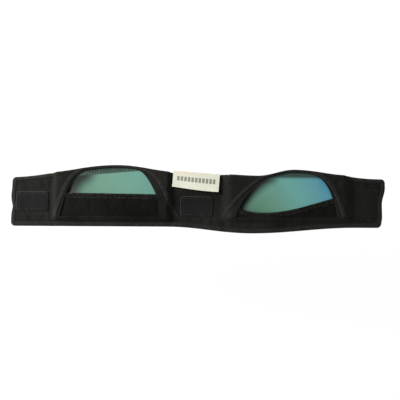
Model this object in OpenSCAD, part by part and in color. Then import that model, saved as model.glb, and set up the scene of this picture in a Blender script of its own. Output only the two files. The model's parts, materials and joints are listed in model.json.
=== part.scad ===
// Wrist guard: a padded wrap band with two arch-fronted pockets, each holding a
// gel insert that pulls out of the band's top edge. The band lies flat on its
// lining: X runs along it, Y towards the edge with the label, and Z up through
// the layers. Four fold lines along Y let it wrap, lining inside, round a cuff.
// The origin is below the middle of the whole band, in the plane it lies on.

/* [Band outline] */
// Width of the band at its two ends
end_width = 38; // [30:0.5:48]
// Rise of the top edge half-way along the band
top_crown = 3.5; // [0:0.5:6]
// Radius of the corners at the two ends
corner_radius = 5; // [3:0.5:9]
// Depth of the bow in the bottom edge
bow_depth = 5; // [0:0.5:8]
// Place of the bow's lowest point, from the middle of the band
bow_place = 42; // [20:1:60]
// Lengths from the bow's lowest point to its left and right ends
bow_runs = [66, 85];
// Rise of the top edge over the left pocket
left_rise = 8.7; // [3:0.1:12]
// Rise of the top edge over the right pocket
right_rise = 6.2; // [3:0.1:12]
// Place of the right rise's peak, outwards from its pocket's middle
right_peak_shift = 7; // [0:1:10]
// Lengths of the left rise, towards the end and towards the middle
left_rise_runs = [84, 66];
// Lengths of the right rise, towards the middle and towards the end
right_rise_runs = [32, 66];

/* [Fold lines] */
// Gap between the layers of neighbouring sections at a fold line
fold_gap = 0.8; // [0.6:0.1:0.9]
// Slope of the open sides of a fold line, across for each millimetre up
fold_slope = 0.2; // [0.18:0.01:0.3]
// How much longer the right pocket section is, so that the closed tabs nest
nest_offset = 6; // [5:0.5:8]
// Room left between a folded tab and the section it closes against
tab_clearance = 1; // [0.8:0.1:3]

/* [Layers] */
// Thickness of the lining
lining_t = 0.8; // [0.5:0.1:1.5]
// Thickness of the foam core
core_t = 2; // [1.5:0.1:4]
// Thickness of the outer cloth
outer_t = 0.8; // [0.5:0.1:1.5]
// Thickness of a pocket's front panel
front_t = 0.8; // [0.5:0.1:1.5]
// Thickness of the binding tape
tape_t = 0.6; // [0.4:0.1:1]
// Width of the binding tape that shows along the band's edges
tape_w = 3.2; // [2.5:0.1:5]
// Thickness of the tape where it wraps round the band's edge
tape_edge = 0.7; // [0.5:0.1:1.5]

/* [Inserts and pockets] */
// Length of a gel insert
insert_length = 86; // [70:1:110]
// Thickness of a gel insert
insert_t = 3.2; // [2.6:0.1:5]
// Thickness of an insert's film
film_t = 0.4; // [0.3:0.05:0.6]
// Width of the welded rim round an insert
weld_w = 2.5; // [1.5:0.1:4]
// Room between an insert and its pocket
insert_clearance = 0.3; // [0.2:0.05:0.5]
// Width of the sewn margin at each end of a pocket
pocket_wall = 4.2; // [3:0.1:6]
// Width of the sewn margin below a pocket
floor_wall = 2.5; // [1.5:0.1:4]
// Height of a pocket's floor above the band's bottom edge
floor_height = 6.75; // [5.8:0.05:9]
// How far an insert's top edge is hidden behind the arch
insert_cover = 1; // [0.5:0.1:3]
// How far the arch reaches beyond an insert's end
arch_overlap = 2.5; // [2:0.1:3]
// Width of the tape on the sides of an arch
arch_tape_w = 3.5; // [2.5:0.1:5]
// Width of the tape over the top of an arch
arch_crest_w = 2.4; // [1.5:0.1:4]
// Width of the cloth facing between the left arch's tape and its window, at its
// two sides
left_facing = [0.5, 4];
// Width of the cloth facing between the right arch's tape and its window
right_facing = [0.5, 2.5];
// Fullness of the left arch's two shoulders, 2 being an ellipse
left_fullness = [4, 4];
// Fullness of the right arch's two shoulders
right_fullness = [2.2, 3];
// How far the left arch's two sides lean in, as a share of its half length
left_lean = [0.22, 0.14];
// How far the right arch's two sides lean in
right_lean = [0.24, 0.22];

/* [Pocket hems] */
// Height of the left hem above the band's centre line, at its two ends
left_hem_ends = [7.5, 6.4];
// Height of the right hem above the band's centre line, at its two ends
right_hem_ends = [-3.8, 2.7];
// How far the left hem sags below a straight line
left_hem_sag = 0; // [0:0.1:3]
// How far the right hem sags below a straight line
right_hem_sag = 6.8; // [0:0.1:8]
// Width of a hem
hem_w = 4; // [3:0.1:6]
// Thickness of a hem above the pocket's front panel
hem_t = 0.6; // [0.4:0.1:1]

/* [Patches and label] */
// Length of a loop patch
patch_length = 26; // [20:0.5:34]
// Height of a loop patch
patch_height = 16; // [12:0.5:20]
// Thickness of a patch
patch_t = 1; // [0.6:0.1:1.5]
// Height of the middle patch below the band's centre line
centre_patch_drop = 3.5; // [0:0.1:5]
// Margin between the left patch and the end of its tab
patch_end_margin = 3.5; // [3.2:0.1:8]
// Margin between a patch and the fold line beside it
patch_fold_margin = 3.3; // [2.5:0.1:6]
// Margin between the hook patch and the long edges of the right tab
hook_edge_margin = 7; // [6:0.5:11]
// Length of the label
label_length = 37; // [25:0.5:45]
// Height of the label's free leaf
label_height = 13.2; // [8:0.1:15]
// Thickness of the label
label_t = 0.5; // [0.3:0.05:0.8]
// Width of the label's end that is sewn to the band
label_seam = 3; // [2:0.1:5]
// Turn of the label clockwise, following the edge that it hangs from
label_turn = 4.6; // [0:0.1:6]
// Room between the label and the fold lines
label_margin = 2.7; // [2.6:0.1:5]
// Place of the label's middle along the band
label_place = -1.2; // [-1.5:0.1:1.5]
// How far the label's fold stands above the band's top edge
label_stand = 0.9; // [0:0.1:2]
// Room between the label's leaf and what lies under it
label_gap = 0.3; // [0.2:0.05:0.5]

/* [Stitching] */
// Length of one stitch
stitch_l = 2.2; // [1.5:0.1:3]
// Distance from one stitch to the next
stitch_pitch = 3.3; // [2.8:0.1:5]
// Width of the thread
thread_w = 0.5; // [0.3:0.05:0.8]
// Height of the thread above the cloth
thread_t = 0.3; // [0.2:0.05:0.5]
// Distance of a stitch line from the edge that it follows
stitch_inset = 1.6; // [1.2:0.1:2]

/* [Hidden] */

// The two sides, as indices of the lists below.
LEFT = 0;
RIGHT = 1;
// Distance that is more than the model reaches, for cuts that run right through.
FAR = 200;
// Longest step along an edge, on the sections and round the corners of the tabs.
EDGE_STEP = 4;
CORNER_STEP = 1.25;
// Points along each half of an arch.
ARCH_STEPS = 16;

// Sections, from the pieces that each has to hold.
left_tab_length = patch_end_margin + patch_length + patch_fold_margin;
right_tab_length = left_tab_length - nest_offset;
section_length = insert_length + 2 * (insert_clearance + pocket_wall);
centre_length = max(label_length + 2 * label_margin, left_tab_length + tab_clearance);
x_centre = centre_length / 2;
x_left = -x_centre - section_length;
x_right = x_centre + section_length + nest_offset;
x_end = x_centre + section_length + left_tab_length;
fold_places = [x_left, -x_centre, x_centre, x_right];
pocket_x = [(x_left - x_centre) / 2, (x_centre + x_right) / 2];
section_x = [[x_left, -x_centre], [x_centre, x_right]];

// Levels, from the plane that the band lies on.
z_core = lining_t;
z_face = z_core + core_t;
z_skin = z_face + outer_t;
z_insert = z_face + insert_clearance;
z_front = z_insert + insert_t + insert_clearance;
z_plate = z_front + front_t;
z_top = z_plate + outer_t;

// A smooth hump, 1 in its middle and 0 from -1 and 1 outwards.
function hump(t) = abs(t) < 1 ? (1 + cos(180 * t)) / 2 : 0;
function rise(x, peak, runs) = hump((x - peak) / (x < peak ? runs[0] : runs[1]));

// The band's edges, measured from its centre line.
function top_y(x) = end_width / 2 + top_crown * hump(x / x_end)
    + left_rise * rise(x, pocket_x[LEFT], left_rise_runs)
    + right_rise * rise(x, pocket_x[RIGHT] + right_peak_shift, right_rise_runs);
function bottom_y(x) = -end_width / 2 - bow_depth * rise(x, bow_place, bow_runs);

// Places along an edge, no further apart than the step.
function stations(from, to, step) =
    let (n = ceil((to - from) / step)) [for (i = [0:n]) from + (to - from) * i / n];
function reversed(list) = [for (i = [len(list) - 1:-1:0]) list[i]];
// How far a rounded corner at x_corner lowers the edge at x.
function corner_cut(x, x_corner, r) =
    let (d = abs(x_corner - x)) d >= r ? 0 : r - sqrt(r * r - (r - d) * (r - d));

// The middle of the outline's box, which the origin lies under.
edge_places = stations(-x_end, x_end, EDGE_STEP / 4);
y_middle = (max([for (x = edge_places) top_y(x)])
    + min([for (x = edge_places) bottom_y(x)])) / 2;

// Pockets.
pocket_floor = -end_width / 2 + floor_height;
arch_base = pocket_floor - insert_clearance;
arch_half = insert_length / 2 + arch_overlap;
fullness = [left_fullness, right_fullness];
lean = [left_lean, right_lean];
facing = [left_facing, right_facing];
hem_ends = [left_hem_ends, right_hem_ends];
hem_sag = [left_hem_sag, right_hem_sag];
function arch_height(side) = top_y(pocket_x[side]) - arch_base;
function insert_height(side) =
    arch_height(side) - arch_crest_w + insert_cover - insert_clearance;

// The height of a hem's upper edge: a straight line that sags most near its start.
HEM_SKEW = 0.65;
function hem_y(side, x) =
    let (half = insert_length / 2 + insert_clearance,
         t = (x - pocket_x[side] + half) / (2 * half))
    hem_ends[side][0] * (1 - t) + hem_ends[side][1] * t
        - hem_sag[side] * sin(180 * pow(t, HEM_SKEW));

// Half an ellipse-like arch whose two shoulders have their own fullness and whose
// two sides lean in evenly from foot to crest.
function arch_point(angle, half, height, n, lean_in) =
    let (c = cos(angle), up = pow(abs(sin(angle)), 2 / n))
    [sign(c) * half * pow(abs(c), 2 / n) * (1 - lean_in * up), height * up];
function arch_points(side, halves, height) = [
    for (i = [0:2 * ARCH_STEPS])
        let (angle = 180 - 90 * i / ARCH_STEPS, k = angle > 90 ? 0 : 1)
        arch_point(angle, halves[k], height, fullness[side][k], lean[side][k])
];

module placed() translate([0, -y_middle, 0]) children();

// The band's outline between two places, set in from its long edges, with
// rounded corners where an end is one of the band's own ends.
module outline(from, to, inset = 0, round_from = false, round_to = false) {
    r = max(corner_radius - inset, 0.5);
    step = round_from || round_to ? CORNER_STEP : EDGE_STEP;
    places = stations(from, to, step);
    cuts = [for (x = places) (round_from ? corner_cut(x, from, r) : 0)
        + (round_to ? corner_cut(x, to, r) : 0)];
    last = len(places) - 1;
    polygon(concat(
        [for (i = [0:last]) [places[i], top_y(places[i]) - inset - cuts[i]]],
        [for (i = [last:-1:0]) [places[i], bottom_y(places[i]) + inset + cuts[i]]]));
}

module layer(from_z, to_z) translate([0, 0, from_z]) linear_extrude(to_z - from_z) children();

// The V-shaped gaps that the fold lines leave between sections.
module fold_gaps() {
    half = fold_gap / 2;
    spread = half + fold_slope * FAR;
    for (x = fold_places)
        translate([x, FAR / 2, 0]) rotate([90, 0, 0]) linear_extrude(FAR)
            polygon([[-half, -FAR], [half, -FAR], [half, 0], [spread, FAR],
                [-spread, FAR], [-half, 0]]);
}

module folded() difference() {
    children();
    fold_gaps();
}

module upper_half() translate([-FAR, 0]) square([2 * FAR, FAR]);
module lower_half() mirror([0, 1]) upper_half();

// ---- pieces that every section has ----

module lining_2d(from, to, round_from = false, round_to = false)
    outline(from + (round_from ? tape_w : 0), to - (round_to ? tape_w : 0), tape_w,
        round_from, round_to);

module inner_2d(from, to, round_from = false, round_to = false)
    outline(from + (round_from ? tape_edge : 0), to - (round_to ? tape_edge : 0),
        tape_edge, round_from, round_to);

module lining(from, to, round_from = false, round_to = false)
    layer(0, z_core) lining_2d(from, to, round_from, round_to);

module core(from, to, round_from = false, round_to = false)
    layer(z_core, z_face) inner_2d(from, to, round_from, round_to);

module outer(from, to, round_from = false, round_to = false)
    layer(z_face, z_skin) inner_2d(from, to, round_from, round_to);

// Tape folded round the edge: a leaf on each face and a wall between them.
module binding(from, to, round_from = false, round_to = false) difference() {
    layer(0, z_skin + tape_t) outline(from, to, 0, round_from, round_to);
    layer(-FAR, FAR) lining_2d(from, to, round_from, round_to);
    layer(z_core, z_skin) inner_2d(from, to, round_from, round_to);
}

// A closed box of stitches round a patch, from its middle.
module box_stitches(length, height) {
    across = length - 2 * stitch_inset;
    up = height - 2 * stitch_inset;
    for (side = [-1, 1]) {
        translate([0, side * up / 2]) stitch_row(across - stitch_pitch);
        translate([side * across / 2, 0]) rotate(90) stitch_row(up);
    }
}

module stitch_row(length) {
    n = max(1, floor(length / stitch_pitch));
    for (i = [0:n - 1])
        translate([(i - (n - 1) / 2) * stitch_pitch, 0])
            square([stitch_l, thread_w], center = true);
}

// ---- pieces of a pocket section ----

module arch_2d(side, halves, height)
    translate([pocket_x[side], arch_base]) polygon(arch_points(side, halves, height));

// The taped seam round a pocket.
module arch_tape_2d(side) difference() {
    arch_2d(side, [arch_half, arch_half], arch_height(side));
    inner = arch_half - arch_tape_w;
    arch_2d(side, [inner, inner], arch_height(side) - arch_crest_w);
}
// The opening in the outer cloth, or a line a little inside it.
module window_2d(side, inset = 0)
    arch_2d(side, [for (w = facing[side]) arch_half - arch_tape_w - w - inset],
        arch_height(side) - arch_crest_w - inset);

module cavity(side) {
    half = insert_length / 2 + insert_clearance;
    translate([pocket_x[side] - half, arch_base, z_face])
        cube([2 * half, FAR, z_plate - z_face]);
}

module pocket_outer(side) {
    x = section_x[side];
    difference() {
        union() {
            layer(z_face, z_skin) inner_2d(x[0], x[1]);
            layer(z_face, z_top) intersection() {
                inner_2d(x[0], x[1]);
                translate([-FAR, arch_base - floor_wall]) square([2 * FAR, FAR]);
            }
        }
        cavity(side);
        layer(z_plate, z_top + 1) window_2d(side);
    }
}

module top_edge_binding(side) {
    x = section_x[side];
    difference() {
        layer(0, z_face) intersection() {
            outline(x[0], x[1]);
            upper_half();
        }
        layer(-FAR, z_core) lining_2d(x[0], x[1]);
        layer(z_core, FAR) inner_2d(x[0], x[1]);
    }
}

module edge_binding(from, to, top) intersection() {
    binding(from, to);
    layer(0, FAR) if (top) upper_half(); else lower_half();
}

module arch_binding(side) {
    x = section_x[side];
    layer(z_top, z_top + tape_t) intersection() {
        arch_tape_2d(side);
        outline(x[0], x[1]);
    }
}

module hem_strip_2d(side, above, below) {
    half = insert_length / 2 + insert_clearance;
    places = stations(pocket_x[side] - half, pocket_x[side] + half, EDGE_STEP);
    polygon(concat([for (x = places) [x, hem_y(side, x) + above]],
        [for (x = reversed(places)) [x, hem_y(side, x) - below]]));
}

module pocket_front(side) layer(z_front, z_plate) intersection() {
    hem_strip_2d(side, 0, FAR);
    translate([-FAR, arch_base]) square([2 * FAR, FAR]);
}

module pocket_hem(side) layer(z_plate, z_plate + hem_t) intersection() {
    hem_strip_2d(side, 0, hem_w);
    window_2d(side, insert_clearance);
}

// A row of stitches along the hem's lower edge, inside the window.
module hem_stitches(side) {
    half = arch_half - arch_tape_w - min(facing[side]) - stitch_l;
    n = floor(2 * half / stitch_pitch);
    z = z_plate + hem_t;
    layer(z, z + thread_t) intersection() {
        for (i = [0:n - 1]) {
            x = pocket_x[side] + (i - (n - 1) / 2) * stitch_pitch;
            y = hem_y(side, x);
            translate([x, y - hem_w + stitch_inset / 2])
                rotate(atan2(hem_y(side, x + 1) - y, 1))
                    square([stitch_l, thread_w], center = true);
        }
        window_2d(side, stitch_l);
    }
}

// ---- pieces of an insert ----

module insert_2d(side, inset = 0) {
    half = insert_length / 2 - inset;
    translate([0, insert_clearance + inset])
        arch_2d(side, [half, half], insert_height(side) - 2 * inset);
}

module insert_back_film(side) layer(z_insert, z_insert + film_t) insert_2d(side);

module insert_front_film(side) {
    z_weld = z_insert + film_t;
    difference() {
        union() {
            layer(z_weld, z_weld + film_t) insert_2d(side);
            layer(z_weld, z_insert + insert_t) insert_2d(side, weld_w);
        }
        layer(z_weld - 1, z_insert + insert_t - film_t) insert_2d(side, weld_w + film_t);
    }
}

module insert_gel(side)
    layer(z_insert + film_t, z_insert + insert_t - film_t) insert_2d(side, weld_w + film_t);

// ---- the middle section ----

module centre_lining() color("#26261f") placed() folded() lining(-x_centre, x_centre);
module centre_core() color("#3a3a38") placed() folded() core(-x_centre, x_centre);
module centre_outer() color("#1d1d1a") placed() folded() outer(-x_centre, x_centre);
module centre_top_binding() color("#2b2b27") placed() folded()
    edge_binding(-x_centre, x_centre, true);
module centre_bottom_binding() color("#2b2b27") placed() folded()
    edge_binding(-x_centre, x_centre, false);

centre_patch_at = [label_place, -centre_patch_drop];

module centre_patch() color("#232321") placed()
    layer(z_skin, z_skin + patch_t) translate(centre_patch_at)
        square([patch_length, patch_height], center = true);

module centre_patch_stitching() color("#111111") placed()
    layer(z_skin + patch_t, z_skin + patch_t + thread_t) translate(centre_patch_at)
        box_stitches(patch_length, patch_height);

// The label is turned about the middle of its fold.
module on_label() placed()
    translate([label_place, top_y(label_place) + label_stand, z_skin + tape_t])
        rotate([0, 0, -label_turn]) children();

module label_seam_end() color("#e8e4d4") on_label()
    translate([-label_length / 2, -label_stand - label_seam, 0])
        cube([label_length, label_seam, label_t]);

module label_leaf() color("#f4f1e4") on_label()
    translate([-label_length / 2, -label_height, label_t + label_gap])
        cube([label_length, label_height, label_t]);

// ---- the pocket sections ----

module section_lining(side) color("#26261f") placed() folded()
    lining(section_x[side][0], section_x[side][1]);
module section_core(side) color("#3a3a38") placed() folded()
    core(section_x[side][0], section_x[side][1]);
module section_outer(side) color("#1d1d1a") placed() folded() pocket_outer(side);
module section_top_binding(side) color("#2b2b27") placed() folded() top_edge_binding(side);
module section_bottom_binding(side) color("#2b2b27") placed() folded()
    edge_binding(section_x[side][0], section_x[side][1], false);
module section_arch_binding(side) color("#30302c") placed() folded() arch_binding(side);
module section_pocket_front(side) color("#1b1b19") placed() pocket_front(side);
module section_pocket_hem(side) color("#22221f") placed() pocket_hem(side);
module section_hem_stitching(side) color("#0f0f0f") placed() hem_stitches(side);
module section_back_film(side) color("#5f9484") placed() insert_back_film(side);
module section_front_film(side) color("#78a999") placed() insert_front_film(side);
module section_gel(side) color("#5aa7a0") placed() insert_gel(side);

// ---- the left tab ----

left_patch_at = [x_left - patch_fold_margin - patch_length / 2, 0];

module left_tab_lining() color("#26261f") placed() folded() lining(-x_end, x_left, true);
module left_tab_core() color("#3a3a38") placed() folded() core(-x_end, x_left, true);
module left_tab_outer() color("#1d1d1a") placed() folded() outer(-x_end, x_left, true);
module left_tab_binding() color("#2b2b27") placed() folded() binding(-x_end, x_left, true);

module left_tab_patch() color("#2a2a28") placed()
    layer(z_skin, z_skin + patch_t) translate(left_patch_at)
        square([patch_length, patch_height], center = true);

module left_tab_stitching() color("#111111") placed()
    layer(z_skin + patch_t, z_skin + patch_t + thread_t) translate(left_patch_at)
        box_stitches(patch_length, patch_height);

// ---- the right tab ----

hook_length = right_tab_length - patch_end_margin - patch_fold_margin;
hook_height = end_width - 2 * hook_edge_margin;
hook_at = [x_right + patch_fold_margin + hook_length / 2, 0];

module hook_2d() translate(hook_at) square([hook_length, hook_height], center = true);

// The hook patch lies flush in the lining, so its hooks meet what the lining meets.
module right_tab_lining() color("#26261f") placed() folded() difference() {
    lining(x_right, x_end, false, true);
    layer(-1, z_core + 1) hook_2d();
}
module right_tab_core() color("#3a3a38") placed() folded() core(x_right, x_end, false, true);
module right_tab_outer() color("#1d1d1a") placed() folded() outer(x_right, x_end, false, true);
module right_tab_binding() color("#2b2b27") placed() folded()
    binding(x_right, x_end, false, true);
module right_tab_hook_patch() color("#3d3d3a") placed() layer(0, z_core) hook_2d();

module right_tab_stitching() color("#111111") placed()
    layer(z_skin, z_skin + thread_t) translate(hook_at)
        box_stitches(hook_length, hook_height);

centre_lining();
centre_core();
centre_outer();
centre_top_binding();
centre_bottom_binding();
centre_patch();
centre_patch_stitching();
label_seam_end();
label_leaf();
section_lining(LEFT);  // left_lining
section_core(LEFT);  // left_core
section_outer(LEFT);  // left_outer
section_top_binding(LEFT);  // left_top_binding
section_bottom_binding(LEFT);  // left_bottom_binding
section_arch_binding(LEFT);  // left_arch_binding
section_pocket_front(LEFT);  // left_pocket_front
section_pocket_hem(LEFT);  // left_pocket_hem
section_hem_stitching(LEFT);  // left_hem_stitching
section_back_film(LEFT);  // left_insert_back_film
section_front_film(LEFT);  // left_insert_front_film
section_gel(LEFT);  // left_insert_gel
left_tab_lining();
left_tab_core();
left_tab_outer();
left_tab_binding();
left_tab_patch();
left_tab_stitching();
section_lining(RIGHT);  // right_lining
section_core(RIGHT);  // right_core
section_outer(RIGHT);  // right_outer
section_top_binding(RIGHT);  // right_top_binding
section_bottom_binding(RIGHT);  // right_bottom_binding
section_arch_binding(RIGHT);  // right_arch_binding
section_pocket_front(RIGHT);  // right_pocket_front
section_pocket_hem(RIGHT);  // right_pocket_hem
section_hem_stitching(RIGHT);  // right_hem_stitching
section_back_film(RIGHT);  // right_insert_back_film
section_front_film(RIGHT);  // right_insert_front_film
section_gel(RIGHT);  // right_insert_gel
right_tab_lining();
right_tab_core();
right_tab_outer();
right_tab_binding();
right_tab_hook_patch();
right_tab_stitching();
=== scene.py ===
"""Wrist guard: the cloth, padding, gel inserts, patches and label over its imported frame.

The band lies flat on its lining: X runs along it, Y towards the edge that the label hangs
from, and Z up through the layers. Sizes inside the classes are in millimetres, and every
mesh is written in metres.
"""

import json
import logging
import math
from dataclasses import dataclass, field
from enum import Enum
from typing import Callable, Iterable, Sequence

import bpy
import numpy as np
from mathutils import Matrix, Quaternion, Vector

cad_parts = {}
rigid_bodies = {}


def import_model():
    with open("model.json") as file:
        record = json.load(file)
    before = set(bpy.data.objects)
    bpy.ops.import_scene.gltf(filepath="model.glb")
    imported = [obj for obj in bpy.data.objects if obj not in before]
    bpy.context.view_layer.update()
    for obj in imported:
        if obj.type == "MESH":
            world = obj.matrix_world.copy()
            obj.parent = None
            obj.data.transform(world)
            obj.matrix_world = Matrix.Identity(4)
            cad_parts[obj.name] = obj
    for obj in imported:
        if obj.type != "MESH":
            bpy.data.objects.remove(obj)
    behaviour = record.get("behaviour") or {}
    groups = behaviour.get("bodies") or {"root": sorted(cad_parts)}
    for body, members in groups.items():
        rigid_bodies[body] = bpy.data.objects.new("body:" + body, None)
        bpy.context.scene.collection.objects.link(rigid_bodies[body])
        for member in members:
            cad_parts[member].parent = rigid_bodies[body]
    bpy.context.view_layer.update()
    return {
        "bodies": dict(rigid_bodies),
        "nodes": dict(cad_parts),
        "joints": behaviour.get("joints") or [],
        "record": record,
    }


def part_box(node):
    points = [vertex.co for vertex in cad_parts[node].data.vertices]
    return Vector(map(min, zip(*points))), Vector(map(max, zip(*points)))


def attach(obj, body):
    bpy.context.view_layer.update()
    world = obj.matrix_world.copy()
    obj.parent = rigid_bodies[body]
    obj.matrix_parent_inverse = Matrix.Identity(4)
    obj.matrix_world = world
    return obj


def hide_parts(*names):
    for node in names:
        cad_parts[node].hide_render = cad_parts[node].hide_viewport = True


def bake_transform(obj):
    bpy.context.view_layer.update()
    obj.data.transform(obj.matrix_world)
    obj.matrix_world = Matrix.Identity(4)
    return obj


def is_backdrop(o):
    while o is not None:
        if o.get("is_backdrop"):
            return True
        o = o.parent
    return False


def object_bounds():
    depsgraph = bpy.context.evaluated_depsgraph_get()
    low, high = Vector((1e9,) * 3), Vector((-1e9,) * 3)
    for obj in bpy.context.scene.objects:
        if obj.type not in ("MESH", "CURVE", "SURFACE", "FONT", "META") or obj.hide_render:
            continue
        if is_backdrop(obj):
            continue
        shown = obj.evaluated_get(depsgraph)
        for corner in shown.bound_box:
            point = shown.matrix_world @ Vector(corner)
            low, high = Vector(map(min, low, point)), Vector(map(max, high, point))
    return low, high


LOG = logging.getLogger("wrist_guard")
MM = 0.001
STITCH_PITCH = 3.3
Array = np.ndarray
Colour = tuple[float, float, float]
Socket = bpy.types.NodeSocket
Dress = tuple[bpy.types.Material, str]
Surface = Callable[[Array, Array], Array]


# ---- shapes of curves ----


def smooth(t: Array) -> Array:
    """A step from 0 to 1 that starts and ends level: 3 t squared less 2 t cubed."""
    t = np.clip(t, 0.0, 1.0)
    return t * t * (3 - 2 * t)


def hump(t: Array) -> Array:
    """One cosine wave, 1 in its middle and 0 from -1 and 1 outwards."""
    return np.where(np.abs(t) < 1, (1 + np.cos(np.pi * t)) / 2, 0.0)


def mix(a: Array | float, b: Array | float, t: Array | float) -> Array:
    """a where t is 0, b where t is 1, and a straight change between."""
    return a * (1 - t) + b * t


def side_of(k: int) -> int:
    """-1 for the first leg of an arch and 1 for the second."""
    return -1 if k == 0 else 1


def freed(gap: Array) -> Array:
    """How free cloth is at a distance from what holds it: all of it from 3 mm on."""
    return np.clip(gap / 3, 0, 1)


def fold_rub(count: int, most: float, spread: float) -> Array:
    """Rubbing round a section of so many points: a bell whose top is the fold in its middle."""
    return most * np.exp(-((np.arange(count) - (count - 1) / 2) ** 2) / spread)


def ripple(x: Array, y: Array, length: float, seed: int, waves: int = 7) -> Array:
    """Soft uneven waves: the mean of sine waves in seeded directions.

    Args:
        x: Places along the band.
        y: Places across the band.
        length: Usual distance between crests.
        seed: Picks the directions, lengths and phases.
        waves: How many sine waves are added.

    Returns:
        Heights of about -1 to 1.
    """
    chance = np.random.default_rng(seed)
    turn = chance.uniform(0, np.pi, waves)
    pitch = 2 * np.pi / (length * chance.uniform(0.6, 1.7, waves))
    phase = chance.uniform(0, 2 * np.pi, waves)
    along = np.multiply.outer(x, np.cos(turn) * pitch)
    across = np.multiply.outer(y, np.sin(turn) * pitch)
    return np.sin(along + across + phase).sum(-1) / np.sqrt(waves * 1.6)


def evenly(points: Array, count: int) -> Array:
    """Places the same distance apart along a line of points, its two ends kept.

    Args:
        points: The line.
        count: How many places.

    Returns:
        The places.
    """
    steps = np.linalg.norm(np.diff(points, axis=0), axis=1)
    run = np.concatenate([[0.0], np.cumsum(steps)])
    places = np.linspace(0, run[-1], count)
    return np.stack([np.interp(places, run, points[:, k]) for k in range(points.shape[1])], 1)


def inward(path: Array) -> Array:
    """Unit normals on the right-hand side of a path that runs clockwise round the band.

    Args:
        path: The path.

    Returns:
        The normals.
    """
    step = np.gradient(path, axis=0)
    step /= np.maximum(np.linalg.norm(step, axis=1), 1e-9)[:, None]
    return np.stack([step[:, 1], -step[:, 0]], axis=1)


def beside_path(path: Array, out: Array) -> Array:
    """Points beside a path that runs clockwise round the band.

    Args:
        path: The path.
        out: Distances inwards from it.

    Returns:
        The points by station and by distance.
    """
    return path[:, None, :] + inward(path)[:, None, :] * out[None, :, None]


# ---- closed meshes ----


@dataclass
class Shell:
    """A closed skin: its points, its quads, and its faces of more sides."""

    points: Array
    quads: Array
    caps: list[list[int]] = field(default_factory=list)

    def volume(self) -> float:
        """Six times the volume that the faces enclose, below zero if they face inwards.

        Returns:
            The signed volume.
        """
        fans = [self.quads[:, [0, 1, 2]], self.quads[:, [0, 2, 3]]]
        for cap in self.caps:
            turn = np.array(cap)
            first = np.full(len(turn) - 2, turn[0])
            fans.append(np.stack([first, turn[1:-1], turn[2:]], axis=1))
        a, b, c = (self.points[np.concatenate(fans)[:, k]] for k in range(3))
        return float(np.einsum("ij,ij->i", a, np.cross(b, c)).sum())

    def faces(self) -> list[list[int]]:
        """The faces, turned outwards, with the quads that closed to a point as triangles.

        Returns:
            The corners of each face.
        """
        quads = self.quads
        twin = quads == np.roll(quads, -1, axis=1)
        whole = quads[~twin.any(axis=1)].tolist()
        pinched = quads[twin.sum(axis=1) == 1]
        kept = ~twin[twin.sum(axis=1) == 1]
        triangles = pinched[kept].reshape(-1, 3).tolist()
        found = whole + triangles + self.caps
        return found if self.volume() >= 0 else [face[::-1] for face in found]


def grid_quads(rows: int, columns: int, start: int = 0) -> Array:
    """The quads of a grid of points that is written row after row.

    Args:
        rows: Rows of points.
        columns: Points in a row.
        start: Number of the first point.

    Returns:
        The quads.
    """
    i, j = np.meshgrid(np.arange(rows - 1), np.arange(columns - 1), indexing="ij")
    a = (i * columns + j).ravel() + start
    return np.stack([a, a + columns, a + columns + 1, a + 1], axis=1)


@dataclass
class Sheet:
    """Patches of quads that share their edges, laid out in plan before they get a height."""

    grids: list[Array] = field(default_factory=list)

    def add(self, x: Array, low: Array, high: Array, rows: int) -> None:
        """Adds columns at x that run from low to high in equal steps.

        Args:
            x: Place of each column.
            low: Where each column starts.
            high: Where each column ends.
            rows: Points in a column.
        """
        t = np.linspace(0, 1, rows)[None, :]
        y = mix(low[:, None], high[:, None], t)
        self.grids.append(np.stack([np.broadcast_to(x[:, None], y.shape), y], axis=2))

    def joined(self) -> tuple[Array, Array]:
        """All patches as one, with the points that lie together made one point.

        Returns:
            The points and the quads.
        """
        points, quads, start = [], [], 0
        for grid in self.grids:
            rows, columns = grid.shape[:2]
            points.append(grid.reshape(-1, 2))
            quads.append(grid_quads(rows, columns, start))
            start += rows * columns
        flat = np.concatenate(points)
        _, first, back = np.unique(
            np.round(flat, 4), axis=0, return_index=True, return_inverse=True
        )
        return flat[first], back.ravel()[np.concatenate(quads)]


def closed(top: Array, under: Array, quads: Array) -> Shell:
    """A sheet's upper and lower faces, joined by a wall along every open edge.

    Args:
        top: Points of the upper face.
        under: Points of the lower face, in the same order.
        quads: Quads of the sheet.

    Returns:
        The closed skin.
    """
    count = len(top)
    starts, ends = quads.ravel(), np.roll(quads, -1, axis=1).ravel()
    real = starts != ends
    starts, ends = starts[real], ends[real]
    open_edge = ~np.isin(starts * count + ends, ends * count + starts)
    a, b = starts[open_edge], ends[open_edge]
    wall = np.stack([b, a, a + count, b + count], axis=1)
    faces = np.concatenate([quads, quads[:, ::-1] + count, wall])
    return Shell(np.concatenate([top, under]), faces)


def slab(flat: Array, top: Array, under: Array, quads: Array) -> Shell:
    """A sheet in plan, given the heights of its upper and its lower face."""
    return closed(np.column_stack([flat, top]), np.column_stack([flat, under]), quads)


def swept(rings: Array) -> Shell:
    """A tube through rings of points, closed round each ring and capped at both ends.

    Args:
        rings: Points by station and by place round the ring.

    Returns:
        The closed skin.
    """
    stations, sides = rings.shape[:2]
    i, j = np.meshgrid(np.arange(stations - 1), np.arange(sides), indexing="ij")
    a = (i * sides + j).ravel()
    b = (i * sides + (j + 1) % sides).ravel()
    quads = np.stack([a, a + sides, b + sides, b], axis=1)
    last = (stations - 1) * sides
    caps = [list(range(sides)), list(range(last + sides - 1, last - 1, -1))]
    return Shell(rings.reshape(-1, 3), quads, caps)


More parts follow.
